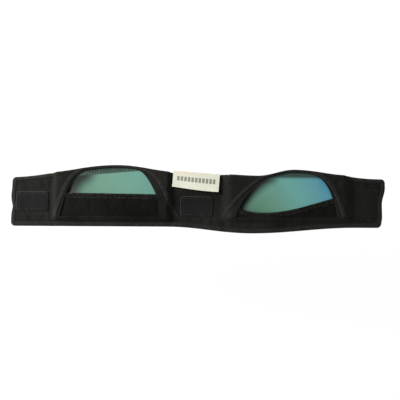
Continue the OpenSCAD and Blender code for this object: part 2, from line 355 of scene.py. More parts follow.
def stitch_shell(centres: Array, turns: Array, length: float = 2.2, width: float = 0.5) -> Shell:
    """Short threads that dip into the cloth at both ends.

    Each is a tube of six sides along a parabola that opens downwards.

    Args:
        centres: The middle of each stitch, on the cloth.
        turns: The angle of each stitch from X.
        length: Length of a stitch.
        width: Thickness of the thread.

    Returns:
        The threads as one skin.
    """
    stations, sides = 5, 6
    along = np.linspace(-1, 1, stations)
    round_ = np.linspace(0, 2 * np.pi, sides, endpoint=False)
    thick = width / 2 * np.sqrt(1 - 0.8 * along**4)
    local = np.stack(
        [
            np.broadcast_to((along * length / 2)[:, None], (stations, sides)),
            thick[:, None] * np.cos(round_)[None, :],
            0.1 + thick[:, None] * 0.8 * np.sin(round_)[None, :] - 0.3 * (along**2)[:, None],
        ],
        axis=2,
    ).reshape(-1, 3)
    c, s = np.cos(turns)[:, None], np.sin(turns)[:, None]
    x = centres[:, :1] + local[None, :, 0] * c - local[None, :, 1] * s
    y = centres[:, 1:2] + local[None, :, 0] * s + local[None, :, 1] * c
    z = centres[:, 2:3] + np.broadcast_to(local[None, :, 2], x.shape)
    one = swept(local.reshape(stations, sides, 3))
    starts = (np.arange(len(centres)) * len(local))[:, None, None]
    quads = (one.quads[None] + starts).reshape(-1, 4)
    caps = (np.array(one.caps)[None] + starts).reshape(-1, sides).tolist()
    return Shell(np.stack([x, y, z], axis=2).reshape(-1, 3), quads, caps)


def along_path(path: Array, pitch: float, margin: float = 1.5) -> tuple[Array, Array]:
    """Stitch places along a path, and the angle of the path at each.

    Args:
        path: The path.
        pitch: From one stitch to the next.
        margin: Length left free at both ends.

    Returns:
        The places and the angles.
    """
    length = float(np.linalg.norm(np.diff(path, axis=0), axis=1).sum())
    count = max(2, int((length - 2 * margin) / pitch))
    dense = evenly(path, 40 * count + 1)
    at = np.round(np.linspace(margin, length - margin, count) / length * 40 * count).astype(int)
    ahead = np.minimum(at + 4, len(dense) - 1)
    back = np.maximum(at - 4, 0)
    step = dense[ahead] - dense[back]
    return dense[at], np.arctan2(step[:, 1], step[:, 0])


@dataclass(frozen=True)
class Settling:
    """A short cloth simulation in which sewn-down cloth that is cut a little full buckles.

    Attributes:
        extra: Share by which the cloth is wider than its place.
        lift: Outward pressure from the padding.
        frames: Length of the simulation.
        cap: Furthest that any point may move up or down, in millimetres.
        size: Metres in the simulation for one millimetre.
    """

    extra: float = 0.035
    lift: float = 0.25
    frames: int = 20
    cap: float = 0.35
    size: float = 0.01

    def run(self, points: Array, quads: Array, loose: Array) -> Array:
        """How far each point of a sheet moves up, in millimetres.

        Args:
            points: The sheet's points.
            quads: Its faces.
            loose: How free each point is, from 0 where it is sewn to 1.

        Returns:
            The rise of each point.
        """
        scene = bpy.context.scene
        mesh = bpy.data.meshes.new("settling")
        mesh.from_pydata((points * self.size).tolist(), [], quads.tolist())
        cloth = bpy.data.objects.new("settling", mesh)
        scene.collection.objects.link(cloth)
        sewn = cloth.vertex_groups.new(name="sewn")
        sewn.add(np.where(loose < 0.02)[0].tolist(), 1.0, "REPLACE")
        modifier = cloth.modifiers.new("settling", "CLOTH")
        how = modifier.settings
        how.vertex_group_mass = "sewn"
        how.quality = 6
        how.mass = 0.15
        how.tension_stiffness = how.compression_stiffness = 12
        how.shear_stiffness = 6
        how.bending_stiffness = 0.05
        how.shrink_min = how.shrink_max = -self.extra
        how.use_pressure = True
        how.uniform_pressure_force = self.lift
        how.effector_weights.gravity = 0
        modifier.collision_settings.use_collision = False
        modifier.point_cache.frame_end = self.frames
        for frame in range(1, self.frames + 1):
            scene.frame_set(frame)
        seen = cloth.evaluated_get(bpy.context.evaluated_depsgraph_get()).data
        moved = np.zeros(3 * len(points), np.float32)
        seen.vertices.foreach_get("co", moved)
        rise = moved.reshape(-1, 3)[:, 2] / self.size - points[:, 2]
        scene.frame_set(1)
        bpy.data.objects.remove(cloth)
        bpy.data.meshes.remove(mesh)
        rise = np.nan_to_num(rise) * smooth(loose)
        LOG.info("settled by %.2f to %.2f mm", rise.min(), rise.max())
        return self.cap * np.tanh(rise / self.cap)


# ---- finishes ----


class Graph:
    """A short way of laying shader nodes and linking them."""

    def __init__(self, tree: bpy.types.NodeTree) -> None:
        """Keeps the tree that the nodes go in."""
        self.tree = tree

    def feed(self, node: bpy.types.Node, inputs: dict) -> bpy.types.Node:
        """Fills or links a node's inputs.

        Args:
            node: The node.
            inputs: A value or a socket for each input's name or number.

        Returns:
            The same node.
        """
        for key, value in inputs.items():
            if isinstance(value, Socket):
                self.tree.links.new(value, node.inputs[key])
            else:
                node.inputs[key].default_value = value
        return node

    def add(self, kind: str, inputs: dict | None = None, **settings: object) -> bpy.types.Node:
        """Adds a node.

        Args:
            kind: The node's type.
            inputs: A value or a socket for each input's name or number.
            settings: The node's own settings.

        Returns:
            The new node.
        """
        node = self.tree.nodes.new(kind)
        for name, value in settings.items():
            setattr(node, name, value)
        return self.feed(node, inputs or {})

    def group(self, tree: bpy.types.NodeTree, inputs: dict) -> bpy.types.NodeOutputs:
        """The outputs of a node group that is placed with the given inputs."""
        return self.add("ShaderNodeGroup", inputs, node_tree=tree).outputs

    def maths(self, operation: str, *values: object, clamp: bool = False) -> Socket:
        """One Math node's result."""
        filled = dict(enumerate(values))
        return self.add("ShaderNodeMath", filled, operation=operation, use_clamp=clamp).outputs[0]

    def plus(self, a: object, b: object, clamp: bool = False) -> Socket:
        """a plus b."""
        return self.maths("ADD", a, b, clamp=clamp)

    def less(self, a: object, b: object) -> Socket:
        """a less b."""
        return self.maths("SUBTRACT", a, b)

    def times(self, a: object, b: object) -> Socket:
        """a times b."""
        return self.maths("MULTIPLY", a, b)

    def line(self, a: object, slope: object, start: object, clamp: bool = False) -> Socket:
        """a times slope, plus start."""
        return self.maths("MULTIPLY_ADD", a, slope, start, clamp=clamp)

    def sine(self, a: object) -> Socket:
        """The sine of pi times a."""
        return self.maths("SINE", self.times(a, math.pi))

    def size(self, a: object) -> Socket:
        """a without its sign."""
        return self.maths("ABSOLUTE", a)

    def mixed(self, factor: object, a: object, b: object) -> Socket:
        """A colour between a and b."""
        return self.add("ShaderNodeMix", {0: factor, 6: a, 7: b}, data_type="RGBA").outputs[2]

    def between(self, value: object, low: float, high: float) -> Socket:
        """A soft step of value, 0 at low and 1 at high.

        Args:
            value: What is stepped.
            low: Where the step starts.
            high: Where the step ends.

        Returns:
            The step.
        """
        filled = {"Value": value, "From Min": low, "From Max": high}
        return self.add("ShaderNodeMapRange", filled, interpolation_type="SMOOTHSTEP").outputs[0]

    def inside(
        self, value: object, rise: tuple[float, float], fall: tuple[float, float]
    ) -> Socket:
        """1 from the soft step up that is given as rise to the soft step down, fall."""
        return self.times(self.between(value, *rise), self.less(1.0, self.between(value, *fall)))

    def noise(self, place: object, scale: object, detail: float = 2.0) -> Socket:
        """Noise of about 0 to 1 at a place."""
        filled = {"Vector": place, "Scale": scale, "Detail": detail}
        return self.add("ShaderNodeTexNoise", filled).outputs[0]

    def scaled(self, vector: object, by: object) -> Socket:
        """A vector or colour times a number."""
        return self.add("ShaderNodeVectorMath", {0: vector, "Scale": by}, operation="SCALE").outputs[0]

    def split(self, place: object) -> tuple[Socket, ...]:
        """The X, Y and Z of a vector."""
        return tuple(self.add("ShaderNodeSeparateXYZ", {0: place}).outputs)

    def bump(self, height: object, distance: float, **more: object) -> Socket:
        """The normal of a relief, given its height and how many metres deep it is."""
        filled = {"Height": height, "Distance": distance, "Strength": 1.0, **more}
        return self.add("ShaderNodeBump", filled).outputs[0]

    def seen(self) -> Socket:
        """1 for camera, glossy and glass rays, and 0 for the light that falls on things.

        Returns:
            The share.
        """
        path = self.add("ShaderNodeLightPath").outputs
        shown = self.plus(path["Is Camera Ray"], path["Is Glossy Ray"])
        return self.plus(shown, path["Is Transmission Ray"], clamp=True)


def new_group(name: str, inputs: Sequence[str], outputs: Sequence[str]) -> tuple:
    """An empty node group whose inputs are numbers, apart from Place, which is a vector.

    Args:
        name: Name of the group.
        inputs: Names of its inputs.
        outputs: Names of its outputs, all numbers.

    Returns:
        The group, its graph, its inputs by name, and its output node.
    """
    tree = bpy.data.node_groups.new(name, "ShaderNodeTree")
    for key in inputs:
        kind = "NodeSocketVector" if key == "Place" else "NodeSocketFloat"
        tree.interface.new_socket(name=key, in_out="INPUT", socket_type=kind)
    for key in outputs:
        tree.interface.new_socket(name=key, in_out="OUTPUT", socket_type="NodeSocketFloat")
    entry = tree.nodes.new("NodeGroupInput")
    leave = tree.nodes.new("NodeGroupOutput")
    return tree, Graph(tree), {key: entry.outputs[key] for key in inputs}, leave


class Weave(Enum):
    """How a cloth's threads lie."""

    PLAIN = "plain weave"
    KNIT = "knit loops"
    RIB = "tape ribs"
    PILE = "loop pile"
    SATIN = "satin floats"


def weave_group(weave: Weave) -> bpy.types.NodeTree:
    """The relief of a cloth's threads, as a height from 0 to 1.

    Plain weave is the product of two sine waves, so that crowns and gaps change places like
    a chequer. Knit is a sine wave bent into chevrons. Ribs are one sine wave across the tape.
    Pile is fine noise on coarse noise. Satin is long floats, a sine wave that is much finer
    one way than the other. The place is bent a little by noise before each.

    Args:
        weave: How the threads lie.

    Returns:
        The node group.
    """
    tree, graph, given, leave = new_group(
        weave.value.replace(" ", "_"), ["Place", "Threads", "Wander"], ["Height"]
    )
    place, threads = given["Place"], given["Threads"]
    bent = graph.times(graph.less(graph.noise(place, 90.0), 0.5), given["Wander"])
    x, y, z = graph.split(graph.scaled(place, threads))
    x = graph.plus(graph.plus(x, bent), graph.times(z, 0.5))
    y = graph.plus(y, bent)
    if weave is Weave.PLAIN:
        height = graph.line(graph.times(graph.sine(x), graph.sine(y)), 0.5, 0.5)
    elif weave is Weave.KNIT:
        rows = graph.size(graph.sine(y))
        loops = graph.size(graph.sine(graph.plus(x, graph.times(rows, 0.6))))
        height = graph.times(loops, graph.line(rows, 0.4, 0.6))
    elif weave is Weave.RIB:
        height = graph.size(graph.sine(graph.plus(x, y)))
    elif weave is Weave.PILE:
        coarse = graph.noise(place, graph.times(threads, 0.8))
        fine = graph.noise(place, graph.times(threads, 3.0), 4.0)
        height = graph.line(fine, 0.5, graph.times(coarse, 0.8))
    else:
        floats = graph.maths("SINE", graph.times(x, math.pi / 5))
        height = graph.line(graph.times(floats, graph.sine(y)), 0.5, 0.5)
    graph.feed(leave, {"Height": height})
    return tree


def wear_group() -> bpy.types.NodeTree:
    """Uneven dye, lint and rubbed places.

    Dye is slow noise. Lint is fine noise cut off near its top. Rub is the given share of
    rubbing broken up by middling noise.

    Returns:
        The node group.
    """
    tree, graph, given, leave = new_group("cloth_wear", ["Place", "Rub"], ["Dye", "Lint", "Rubbed"])
    place = given["Place"]
    fleck = graph.between(graph.noise(place, 1400.0, 1.0), 0.7, 0.78)
    patchy = graph.between(graph.noise(place, 60.0), 0.45, 0.7)
    broken = graph.between(graph.noise(place, 420.0, 3.0), 0.35, 0.65)
    graph.feed(leave, {
        "Dye": graph.between(graph.noise(place, 28.0, 4.0), 0.3, 0.72),
        "Lint": graph.times(fleck, patchy),
        "Rubbed": graph.times(given["Rub"], broken),
    })
    return tree


def crumple_group() -> bpy.types.NodeTree:
    """Small soft creases, as a height: noise at two sizes, the coarser one much deeper.

    Returns:
        The node group.
    """
    tree, graph, given, leave = new_group("cloth_crumple", ["Place"], ["Height"])
    coarse = graph.noise(given["Place"], 75.0, 3.0)
    fine = graph.noise(given["Place"], 260.0, 2.0)
    graph.feed(leave, {"Height": graph.line(fine, 0.25, coarse)})
    return tree


class GroupShelf:
    """The node groups that the finishes share, each built once."""

    def __init__(self) -> None:
        """Builds the groups."""
        self.weaves = {weave: weave_group(weave) for weave in Weave}
        self.wear = wear_group()
        self.crumple = crumple_group()


def empty_material(name: str) -> tuple[bpy.types.Material, Graph]:
    """A material without nodes, and its graph.

    Args:
        name: Name of the material.

    Returns:
        The material and its graph.
    """
    material = bpy.data.materials.new(name)
    material.use_nodes = True
    material.node_tree.nodes.clear()
    return material, Graph(material.node_tree)


def new_material(name: str) -> tuple[bpy.types.Material, Graph, bpy.types.Node]:
    """A material that holds only a Principled shader.

    Args:
        name: Name of the material.

    Returns:
        The material, its graph and its shader.
    """
    material, graph = empty_material(name)
    shader = graph.add("ShaderNodeBsdfPrincipled")
    graph.add("ShaderNodeOutputMaterial", {"Surface": shader.outputs[0]})
    return material, graph, shader


@dataclass(frozen=True)
class ClothFinish:
    """A cloth: its colour, its threads and how worn it is.

    Attributes:
        name: Name of the material.
        slot: The record's material slot.
        colour: Colour of clean cloth.
        weave: How the threads lie.
        threads: Threads in a metre.
        depth: Depth of the thread relief, in metres.
        roughness: Roughness of the cloth.
        uneven: Share by which the dye varies.
        sheen: Strength of the soft light at grazing angles.
        crumple: Depth of the small creases, in metres.
        worn: Colour of lint and rubbed places.
    """

    name: str
    slot: str
    colour: Colour
    weave: Weave
    threads: float
    depth: float
    roughness: float
    uneven: float
    sheen: float = 0.0
    crumple: float = 0.0001
    worn: Colour = (0.07, 0.068, 0.06)

    def build(self, shelf: GroupShelf) -> bpy.types.Material:
        """The cloth's material: dye, with painted shade in the gaps between threads and painted light
        on their crowns, then wear.

        Args:
            shelf: The shared node groups.

        Returns:
            The material.
        """
        material, graph, shader = new_material(self.name)
        place = graph.add("ShaderNodeTexCoord").outputs["Object"]
        rub = graph.add("ShaderNodeAttribute", attribute_name="rub").outputs["Fac"]
        wear = graph.group(shelf.wear, {"Place": place, "Rub": rub})
        threads = graph.group(
            shelf.weaves[self.weave], {"Place": place, "Threads": self.threads, "Wander": 0.5}
        )["Height"]
        pale = tuple(c * (1 + self.uneven) for c in self.colour)
        deep = tuple(c * (1 - self.uneven) for c in self.colour)
        dyed = graph.mixed(wear["Dye"], (*deep, 1), (*pale, 1))
        # Painted shade and light: the colour is darker where the thread relief is low and a little
        # lighter on its crowns.
        shaded = graph.scaled(dyed, graph.line(threads, 0.5, 0.62))
        lint = graph.times(wear["Lint"], 0.5)
        marks = graph.line(wear["Rubbed"], 0.55, lint, clamp=True)
        creases = graph.group(shelf.crumple, {"Place": place})["Height"]
        soft = graph.bump(creases, self.crumple)
        graph.feed(shader, {
            "Base Color": graph.mixed(marks, shaded, (*self.worn, 1)),
            "Roughness": graph.line(wear["Dye"], -0.08, self.roughness),
            "Normal": graph.bump(threads, self.depth, Normal=soft),
            "Specular IOR Level": 0.04,
            "Sheen Weight": self.sheen,
            "Sheen Roughness": 0.4,
        })
        return material


@dataclass(frozen=True)
class LabelFinish:
    """Off-white satin with a tinted fold and a plain row of woven blocks."""

    name: str = "woven_label"
    slot: str = "label_cloth"
    colour: Colour = (0.665, 0.668, 0.55)
    tint: Colour = (0.72, 0.6, 0.42)
    ink: Colour = (0.075, 0.06, 0.052)

    def build(self, shelf: GroupShelf) -> bpy.types.Material:
        """The label's material; U runs along the leaf and V down from its fold.

        Args:
            shelf: The shared node groups.

        Returns:
            The material.
        """
        material, graph, shader = new_material(self.name)
        place = graph.add("ShaderNodeTexCoord").outputs["Object"]
        u, v, _ = graph.split(graph.add("ShaderNodeUVMap", uv_map="leaf").outputs[0])
        satin = graph.group(
            shelf.weaves[Weave.SATIN], {"Place": place, "Threads": 3600.0, "Wander": 0.3}
        )["Height"]
        wear = graph.group(shelf.wear, {"Place": place, "Rub": 0.0})
        corner = graph.plus(graph.times(u, 0.7), graph.times(v, 2.2))
        stained = graph.times(graph.less(1.0, graph.between(corner, 0.0, 0.8)), 0.55)
        base = graph.mixed(stained, (*self.colour, 1), (*self.tint, 1))
        base = graph.mixed(graph.times(wear["Dye"], 0.1), base, (*self.tint, 1))
        turn = graph.maths("FRACT", graph.times(graph.less(u, 0.09), 13.0))
        block = graph.inside(turn, (0.0, 0.08), (0.7, 0.8))
        row = graph.inside(u, (0.088, 0.092), (0.935, 0.94))
        band = graph.inside(v, (0.27, 0.3), (0.55, 0.58))
        ink = graph.times(graph.times(block, row), band)
        worn_ink = graph.times(ink, graph.line(satin, 0.25, 0.62))
        graph.feed(shader, {
            "Base Color": graph.mixed(worn_ink, base, (*self.ink, 1)),
            "Normal": graph.bump(satin, 0.00004),
            "Roughness": graph.line(satin, 0.15, 0.42),
            "Sheen Weight": 0.15,
        })
        return material


@dataclass(frozen=True)
class GelFinish:
    """Satin film over gel, shading from green to blue, with a dark header that is part print and part
    painted shadow of the crest tape, and fine ticks.

    Near the weld on the insert's left side the colour turns near black: painted shade, standing for
    the shadow that the pocket cloth's edge casts there.

    Attributes:
        name: Name of the material.
        stops: Places along X in millimetres, and the colour at each.
        header: Height of the header's lower edge at the insert's middle, in millimetres.
        header_slope: Rise of that edge along X.
        middle: The insert's middle along X, in millimetres.
        ticks: Strength of the tick marks.
        slant: How much of Y counts as X in the change of colour.
        edge_shade_span: Values of the fill attribute between which the painted shade at the left edge
            gives way to the film's colour.
        header_shadow_soft: How far below the header's edge its painted shadow of the crest tape
            reaches, in metres.
        tick_pitch: From one tick to the next, in metres.
        long_pitch: From one long tick to the next, in metres.
    """

    name: str
    stops: tuple[tuple[float, Colour], ...]
    header: float
    header_slope: float
    middle: float
    ticks: float
    slant: float
    edge_shade_span: tuple[float, float]
    header_shadow_soft: float
    slot: str = "insert_film"
    # Dark green of the header: print, darkened further as painted shadow of the crest tape.
    header_print_and_shadow: Colour = (0.024, 0.04, 0.03)
    tick_colour: Colour = (0.24, 0.33, 0.27)
    # Near-black painted shade for the insert's left edge.
    edge_shade_colour: Colour = (0.012, 0.016, 0.014)
    tick_pitch: float = 0.0022
    long_pitch: float = 0.011

    def _film(self, graph: Graph, place: Socket, x: Socket, y: Socket) -> Socket:
        """The colour of the gel under its film.

        The stops are spread along X and a share of Y by a smooth ramp, stirred by slow noise
        and clouded by finer noise.

        Args:
            graph: The material's graph.
            place: The place on the piece.
            x: Its X.
            y: Its Y.

        Returns:
            The colour.
        """
        first, last = self.stops[0][0], self.stops[-1][0]
        shifted = graph.plus(x, graph.times(y, self.slant))
        along = graph.add("ShaderNodeMapRange", {
            "Value": shifted, "From Min": first * MM, "From Max": last * MM
        }).outputs[0]
        drift = graph.line(graph.noise(place, 30.0), 0.1, -0.05)
        ramp = graph.add("ShaderNodeValToRGB", {0: graph.plus(along, drift)})
        ramp.color_ramp.interpolation = "B_SPLINE"
        elements = ramp.color_ramp.elements
        for _ in self.stops[2:]:
            elements.new(0.5)
        for element, (at, colour) in zip(elements, self.stops):
            element.position = (at - first) / (last - first)
            element.color = (*colour, 1)
        cloud = graph.times(graph.between(graph.noise(place, 55.0, 3.0), 0.3, 0.7), 0.22)
        return graph.mixed(cloud, ramp.outputs[0], graph.scaled(ramp.outputs[0], 0.86))

    def _headed(self, graph: Graph, body: Socket, x: Socket, y: Socket) -> Socket:
        """A colour with the header, part print and part painted shadow of the crest tape, and its row
        of ticks laid over it.

        Args:
            graph: The material's graph.
            body: The colour below.
            x: X of the place.
            y: Y of the place.

        Returns:
            The colour.
        """
        edge = graph.line(graph.less(x, self.middle * MM), self.header_slope, self.header * MM)
        level = graph.less(y, edge)
        # The header mask: printed strip and painted shadow of the crest tape; its lower edge softens
        # over header_shadow_soft.
        header = graph.times(graph.between(level, -self.header_shadow_soft, 0.0005), 0.96)
        turn = graph.maths("FRACT", graph.times(x, 1 / self.tick_pitch))
        tick = graph.less(1.0, graph.between(turn, 0.16, 0.3))
        long_turn = graph.maths("FRACT", graph.times(x, 1 / self.long_pitch))
        reach = graph.line(graph.between(long_turn, 0.8, 0.81), 0.0009, 0.0019)
        short = graph.maths("LESS_THAN", level, reach)
        above = graph.maths("GREATER_THAN", level, 0.0005)
        marks = graph.times(graph.times(graph.times(tick, short), above), self.ticks)
        body = graph.mixed(header, body, (*self.header_print_and_shadow, 1))
        return graph.mixed(marks, body, (*self.tick_colour, 1))

    def build(self, shelf: GroupShelf) -> bpy.types.Material:
        """The insert's material; its fill attribute says where the painted shade at the left edge
        lies, low where it is darkest.

        Args:
            shelf: The shared node groups, which it has no need of.

        Returns:
            The material.
        """
        material, graph, shader = new_material(self.name)
        place = graph.add("ShaderNodeTexCoord").outputs["Object"]
        x, y, _ = graph.split(place)
        # gel holds the painted-shade mask from the fill attribute: where it is low, near the left
        # weld, the film gives way to the near-black shade colour.
        gel = graph.add("ShaderNodeAttribute", attribute_name="fill").outputs["Fac"]
        film = self._film(graph, place, x, y)
        body = graph.mixed(graph.between(gel, *self.edge_shade_span), (*self.edge_shade_colour, 1), film)
        relief = graph.line(graph.noise(place, 120.0, 2.0), 3.0, graph.noise(place, 900.0, 3.0))
        graph.feed(shader, {
            "Base Color": self._headed(graph, body, x, y),
            "Normal": graph.bump(relief, 0.00005),
            "Roughness": graph.line(graph.noise(place, 200.0), 0.14, 0.36),
            "Subsurface Weight": 0.12,
            "Subsurface Radius": (0.3, 1.0, 0.8),
            "Subsurface Scale": 0.002,
            "Specular IOR Level": 0.15,
            "Coat Weight": 0.05,
            "Coat Roughness": 0.3,
        })
        return material


@dataclass(frozen=True)
class FloorFinish:
    """White to the camera, glossy and glass rays, with a share of plain white that shades.

    Its underside is clear to the camera.
    """

    name: str = "pale_floor"
    lit: float = 0.92
    white: float = 1.04

    def build(self) -> bpy.types.Material:
        """The floor's material.

        Returns:
            The material.
        """
        material, graph = empty_material(self.name)
        plain = graph.add("ShaderNodeBsdfDiffuse", {"Color": (0.9, 0.9, 0.89, 1)}).outputs[0]
        glow = graph.add(
            "ShaderNodeEmission", {"Color": (1, 1, 1, 1), "Strength": self.white}
        ).outputs[0]
        share = graph.times(graph.seen(), self.lit)
        mixed = graph.add("ShaderNodeMixShader", {0: share, 1: plain, 2: glow}).outputs[0]
        below = graph.add("ShaderNodeNewGeometry").outputs["Backfacing"]
        camera = graph.add("ShaderNodeLightPath").outputs["Is Camera Ray"]
        clear = graph.add("ShaderNodeBsdfTransparent").outputs[0]
        through = graph.times(below, camera)
        shown = graph.add("ShaderNodeMixShader", {0: through, 1: mixed, 2: clear}).outputs[0]
        graph.add("ShaderNodeOutputMaterial", {"Surface": shown})
        return material


class Wardrobe:
    """Every finish of the object, built once."""

    def __init__(self) -> None:
        """Builds the cloths' materials."""
        self.shelf = GroupShelf()
        self.outer = self.dress(ClothFinish(
            "outer_nylon", "outer_cloth", (0.0134, 0.0132, 0.0112), Weave.PLAIN, 2600.0, 0.00007,
            roughness=0.82, uneven=0.28, sheen=0.05, crumple=0.0004,
        ))
        self.lining = self.dress(ClothFinish(
            "brushed_lining", "lining_knit", (0.022, 0.022, 0.02), Weave.KNIT, 1300.0, 0.00016,
            roughness=0.9, uneven=0.2, sheen=0.2, crumple=0.0004,
        ))
        self.tape = self.dress(ClothFinish(
            "binding_grosgrain", "binding_tape", (0.0172, 0.0170, 0.0154), Weave.RIB, 1900.0, 0.0001,
            roughness=0.66, uneven=0.2, sheen=0.08, crumple=0.0002,
        ))
        self.panel = self.dress(ClothFinish(
            "pocket_stretch", "pocket_cloth", (0.0062, 0.0065, 0.0058), Weave.KNIT, 2200.0, 0.00006,
            roughness=0.85, uneven=0.25, crumple=0.0003,
        ))
        self.pile = self.dress(ClothFinish(
            "loop_pile", "loop_pile", (0.0116, 0.0116, 0.0114), Weave.PILE, 3600.0, 0.0003,
            roughness=0.95, uneven=0.25, sheen=0.25, worn=(0.06, 0.06, 0.056),
        ))
        self.hooks = self.dress(ClothFinish(
            "hook_tape", "hook_tape", (0.03, 0.03, 0.028), Weave.PLAIN, 1400.0, 0.0004,
            roughness=0.45, uneven=0.15,
        ))
        self.thread = self.dress(ClothFinish(
            "sewing_thread", "thread", (0.024, 0.0235, 0.021), Weave.RIB, 4200.0, 0.00008,
            roughness=0.55, uneven=0.1, sheen=0.2,
        ))
        self.label = self.dress(LabelFinish())

    def dress(self, finish: ClothFinish | LabelFinish | GelFinish) -> Dress:
        """A finish's material, and its slot."""
        return finish.build(self.shelf), finish.slot


# ---- pieces ----


@dataclass
class Ride:
    """What a piece follows: one body, or two, in which case the piece is fixed where it is and tied to
    neither.
    """

    body: str
    other: str | None = None
    start: float = 0.0
    end: float = 0.0

    def carry(self, piece: bpy.types.Object) -> None:
        """Ties the piece to its body, or, when it names two, fixes the piece's place into its mesh and
        ties it to neither.

        Args:
            piece: The piece.
        """
        if self.other is None:
            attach(piece, self.body)
        else:
            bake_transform(piece)


def make_piece(
    name: str,
    shell: Shell,
    dress: Dress,
    ride: Ride,
    stands_for: Iterable[str] = (),
    marks: Array | dict[str, Array] | None = None,
    sharp: float = 50.0,
) -> bpy.types.Object:
    """Writes a shell into a mesh, dresses it, and ties it to its body when its ride names only one.

    Args:
        name: Name of the piece.
        shell: The closed skin, in millimetres.
        dress: The material.
        ride: What the piece follows.
        stands_for: CAD nodes that it replaces.
        marks: How rubbed each point is, from 0 to 1, or values of that kind by name.
        sharp: Angle in degrees from which an edge stays sharp.

    Returns:
        The finished piece.
    """
    mesh = bpy.data.meshes.new(name)
    mesh.from_pydata((shell.points * MM).tolist(), [], shell.faces())
    mesh.validate()
    mesh.shade_smooth()
    mesh.set_sharp_from_angle(angle=math.radians(sharp))
    named = marks if isinstance(marks, dict) else {"rub": marks}
    for key, values in named.items():
        if values is not None:
            layer = mesh.attributes.new(key, "FLOAT", "POINT")
            layer.data.foreach_set("value", np.clip(values, 0, 1).astype(np.float32))
    piece = bpy.data.objects.new(name, mesh)
    bpy.context.scene.collection.objects.link(piece)
    mesh.materials.append(dress[0])
    ride.carry(piece)
    if stands_for:
        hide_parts(*stands_for)
    LOG.info("%s: %d faces", name, len(mesh.polygons))
    return piece


def middle_and_half(node: str) -> tuple[Vector, Vector]:
    """A CAD node's middle, and half its size, in millimetres."""
    low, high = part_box(node)
    return (low + high) / 2 / MM, (high - low) / 2 / MM


# ---- the band's form ----


@dataclass
class Arch:
    """The arch-shaped opening of a pocket, in two legs that meet at its peak.

    Attributes:
        name: Side of the band.
        middle: Place of the peak along the band.
        base: Height of the feet.
        rise: Height of the peak above the feet.
        fullness: Fullness of the two shoulders, 2 being an ellipse.
        lean: How far each leg leans in, as a share of its half.
        facing: Width of plain cloth between the tape and the window, at each leg.
        flare: How far each foot of the tape swings outwards.
        hem: Heights of the hem at its two ends.
        sag: How far the hem hangs below a straight line.
        drop: How far the whole hem has slipped down.
        half: Half the tape's width at its feet.
        tape: Width of the tape at its feet, and crest_tape its width at the peak.
        pocket_half: Half the width of the pocket.
        skew: Below 1, the hem hangs lowest before its middle.
        pull: How far the window's edge is drawn in below its shoulder, at each leg.
    """

    name: str
    middle: float
    base: float
    rise: float
    fullness: tuple[float, float]
    lean: tuple[float, float]
    facing: tuple[float, float]
    flare: tuple[float, float]
    hem: tuple[float, float]
    sag: float
    half: float = 45.5
    tape: float = 3.5
    crest_tape: float = 2.4
    pocket_half: float = 43.3
    skew: float = 0.65
    drop: float = 1.2
    pull: tuple[float, float] = (0.0, 0.0)

    def leg(self, k: int, half: float, rise: float, count: int) -> Array:
        """Points from foot to peak, evenly spaced.

        The leg is a superellipse quarter, half times cos to the power 2/n across and rise
        times sin to the power 2/n up, whose width shrinks by the lean as it goes up.

        Args:
            k: The leg, 0 or 1.
            half: The leg's reach at its foot.
            rise: Height of the peak above the foot.
            count: How many points.

        Returns:
            The points.
        """
        angle = np.linspace(0, np.pi / 2, 1201)
        up = np.sin(angle) ** (2 / self.fullness[k])
        out = half * np.cos(angle) ** (2 / self.fullness[k]) * (1 - self.lean[k] * up)
        return evenly(np.stack([self.middle + side_of(k) * out, self.base + rise * up], 1), count)

    def tape_line(
        self, k: int, share: float, count: int, top: Callable[[Array], Array]
    ) -> Array:
        """A line along the tape of one leg.

        Args:
            k: The leg, 0 or 1.
            share: 0 at the tape's inner edge and 1 at its outer.
            count: How many points.
            top: Gives the band's upper edge, which the tape stays below.

        Returns:
            Points from foot to peak; the foot swings outwards by the flare.
        """
        inner = self.leg(k, self.half - self.tape, self.rise - self.crest_tape, count)
        outer = self.leg(k, self.half, self.rise, count)
        line = mix(inner, outer, share)
        up = (line[:, 1] - self.base) / self.rise
        line[:, 0] += side_of(k) * self.flare[k] * (1 - np.clip(up, 0, 1)) ** 2
        line[:, 1] = np.minimum(line[:, 1], top(line[:, 0]) - 0.1)
        return line

    def window(self, k: int, count: int) -> Array:
        """The edge of the opening in the outer cloth, from foot to peak.

        Args:
            k: The leg, 0 or 1.
            count: How many points.

        Returns:
            The edge, drawn in by the pull below its shoulder.
        """
        half = self.half - self.tape - self.facing[k]
        edge = self.leg(k, half, self.rise - self.crest_tape, count)
        up = (edge[:, 1] - self.base) / self.rise
        edge[:, 0] -= side_of(k) * self.pull[k] * hump((up - 0.73) / 0.4)
        return edge

    def window_half(self, k: int, y: Array) -> Array:
        """How far the window reaches from the pocket's middle at a height."""
        edge = self.window(k, 400)
        return np.interp(y, edge[:, 1], np.abs(edge[:, 0] - self.middle))

    def hem_y(self, x: Array) -> Array:
        """The hem's upper edge: a straight line less a skewed half sine wave.

        Args:
            x: Places along the band.

        Returns:
            The heights.
        """
        t = np.clip((x - self.middle + self.pocket_half) / (2 * self.pocket_half), 0, 1)
        line = mix(*self.hem, t)
        return line - self.sag * np.sin(np.pi * t**self.skew) - self.drop


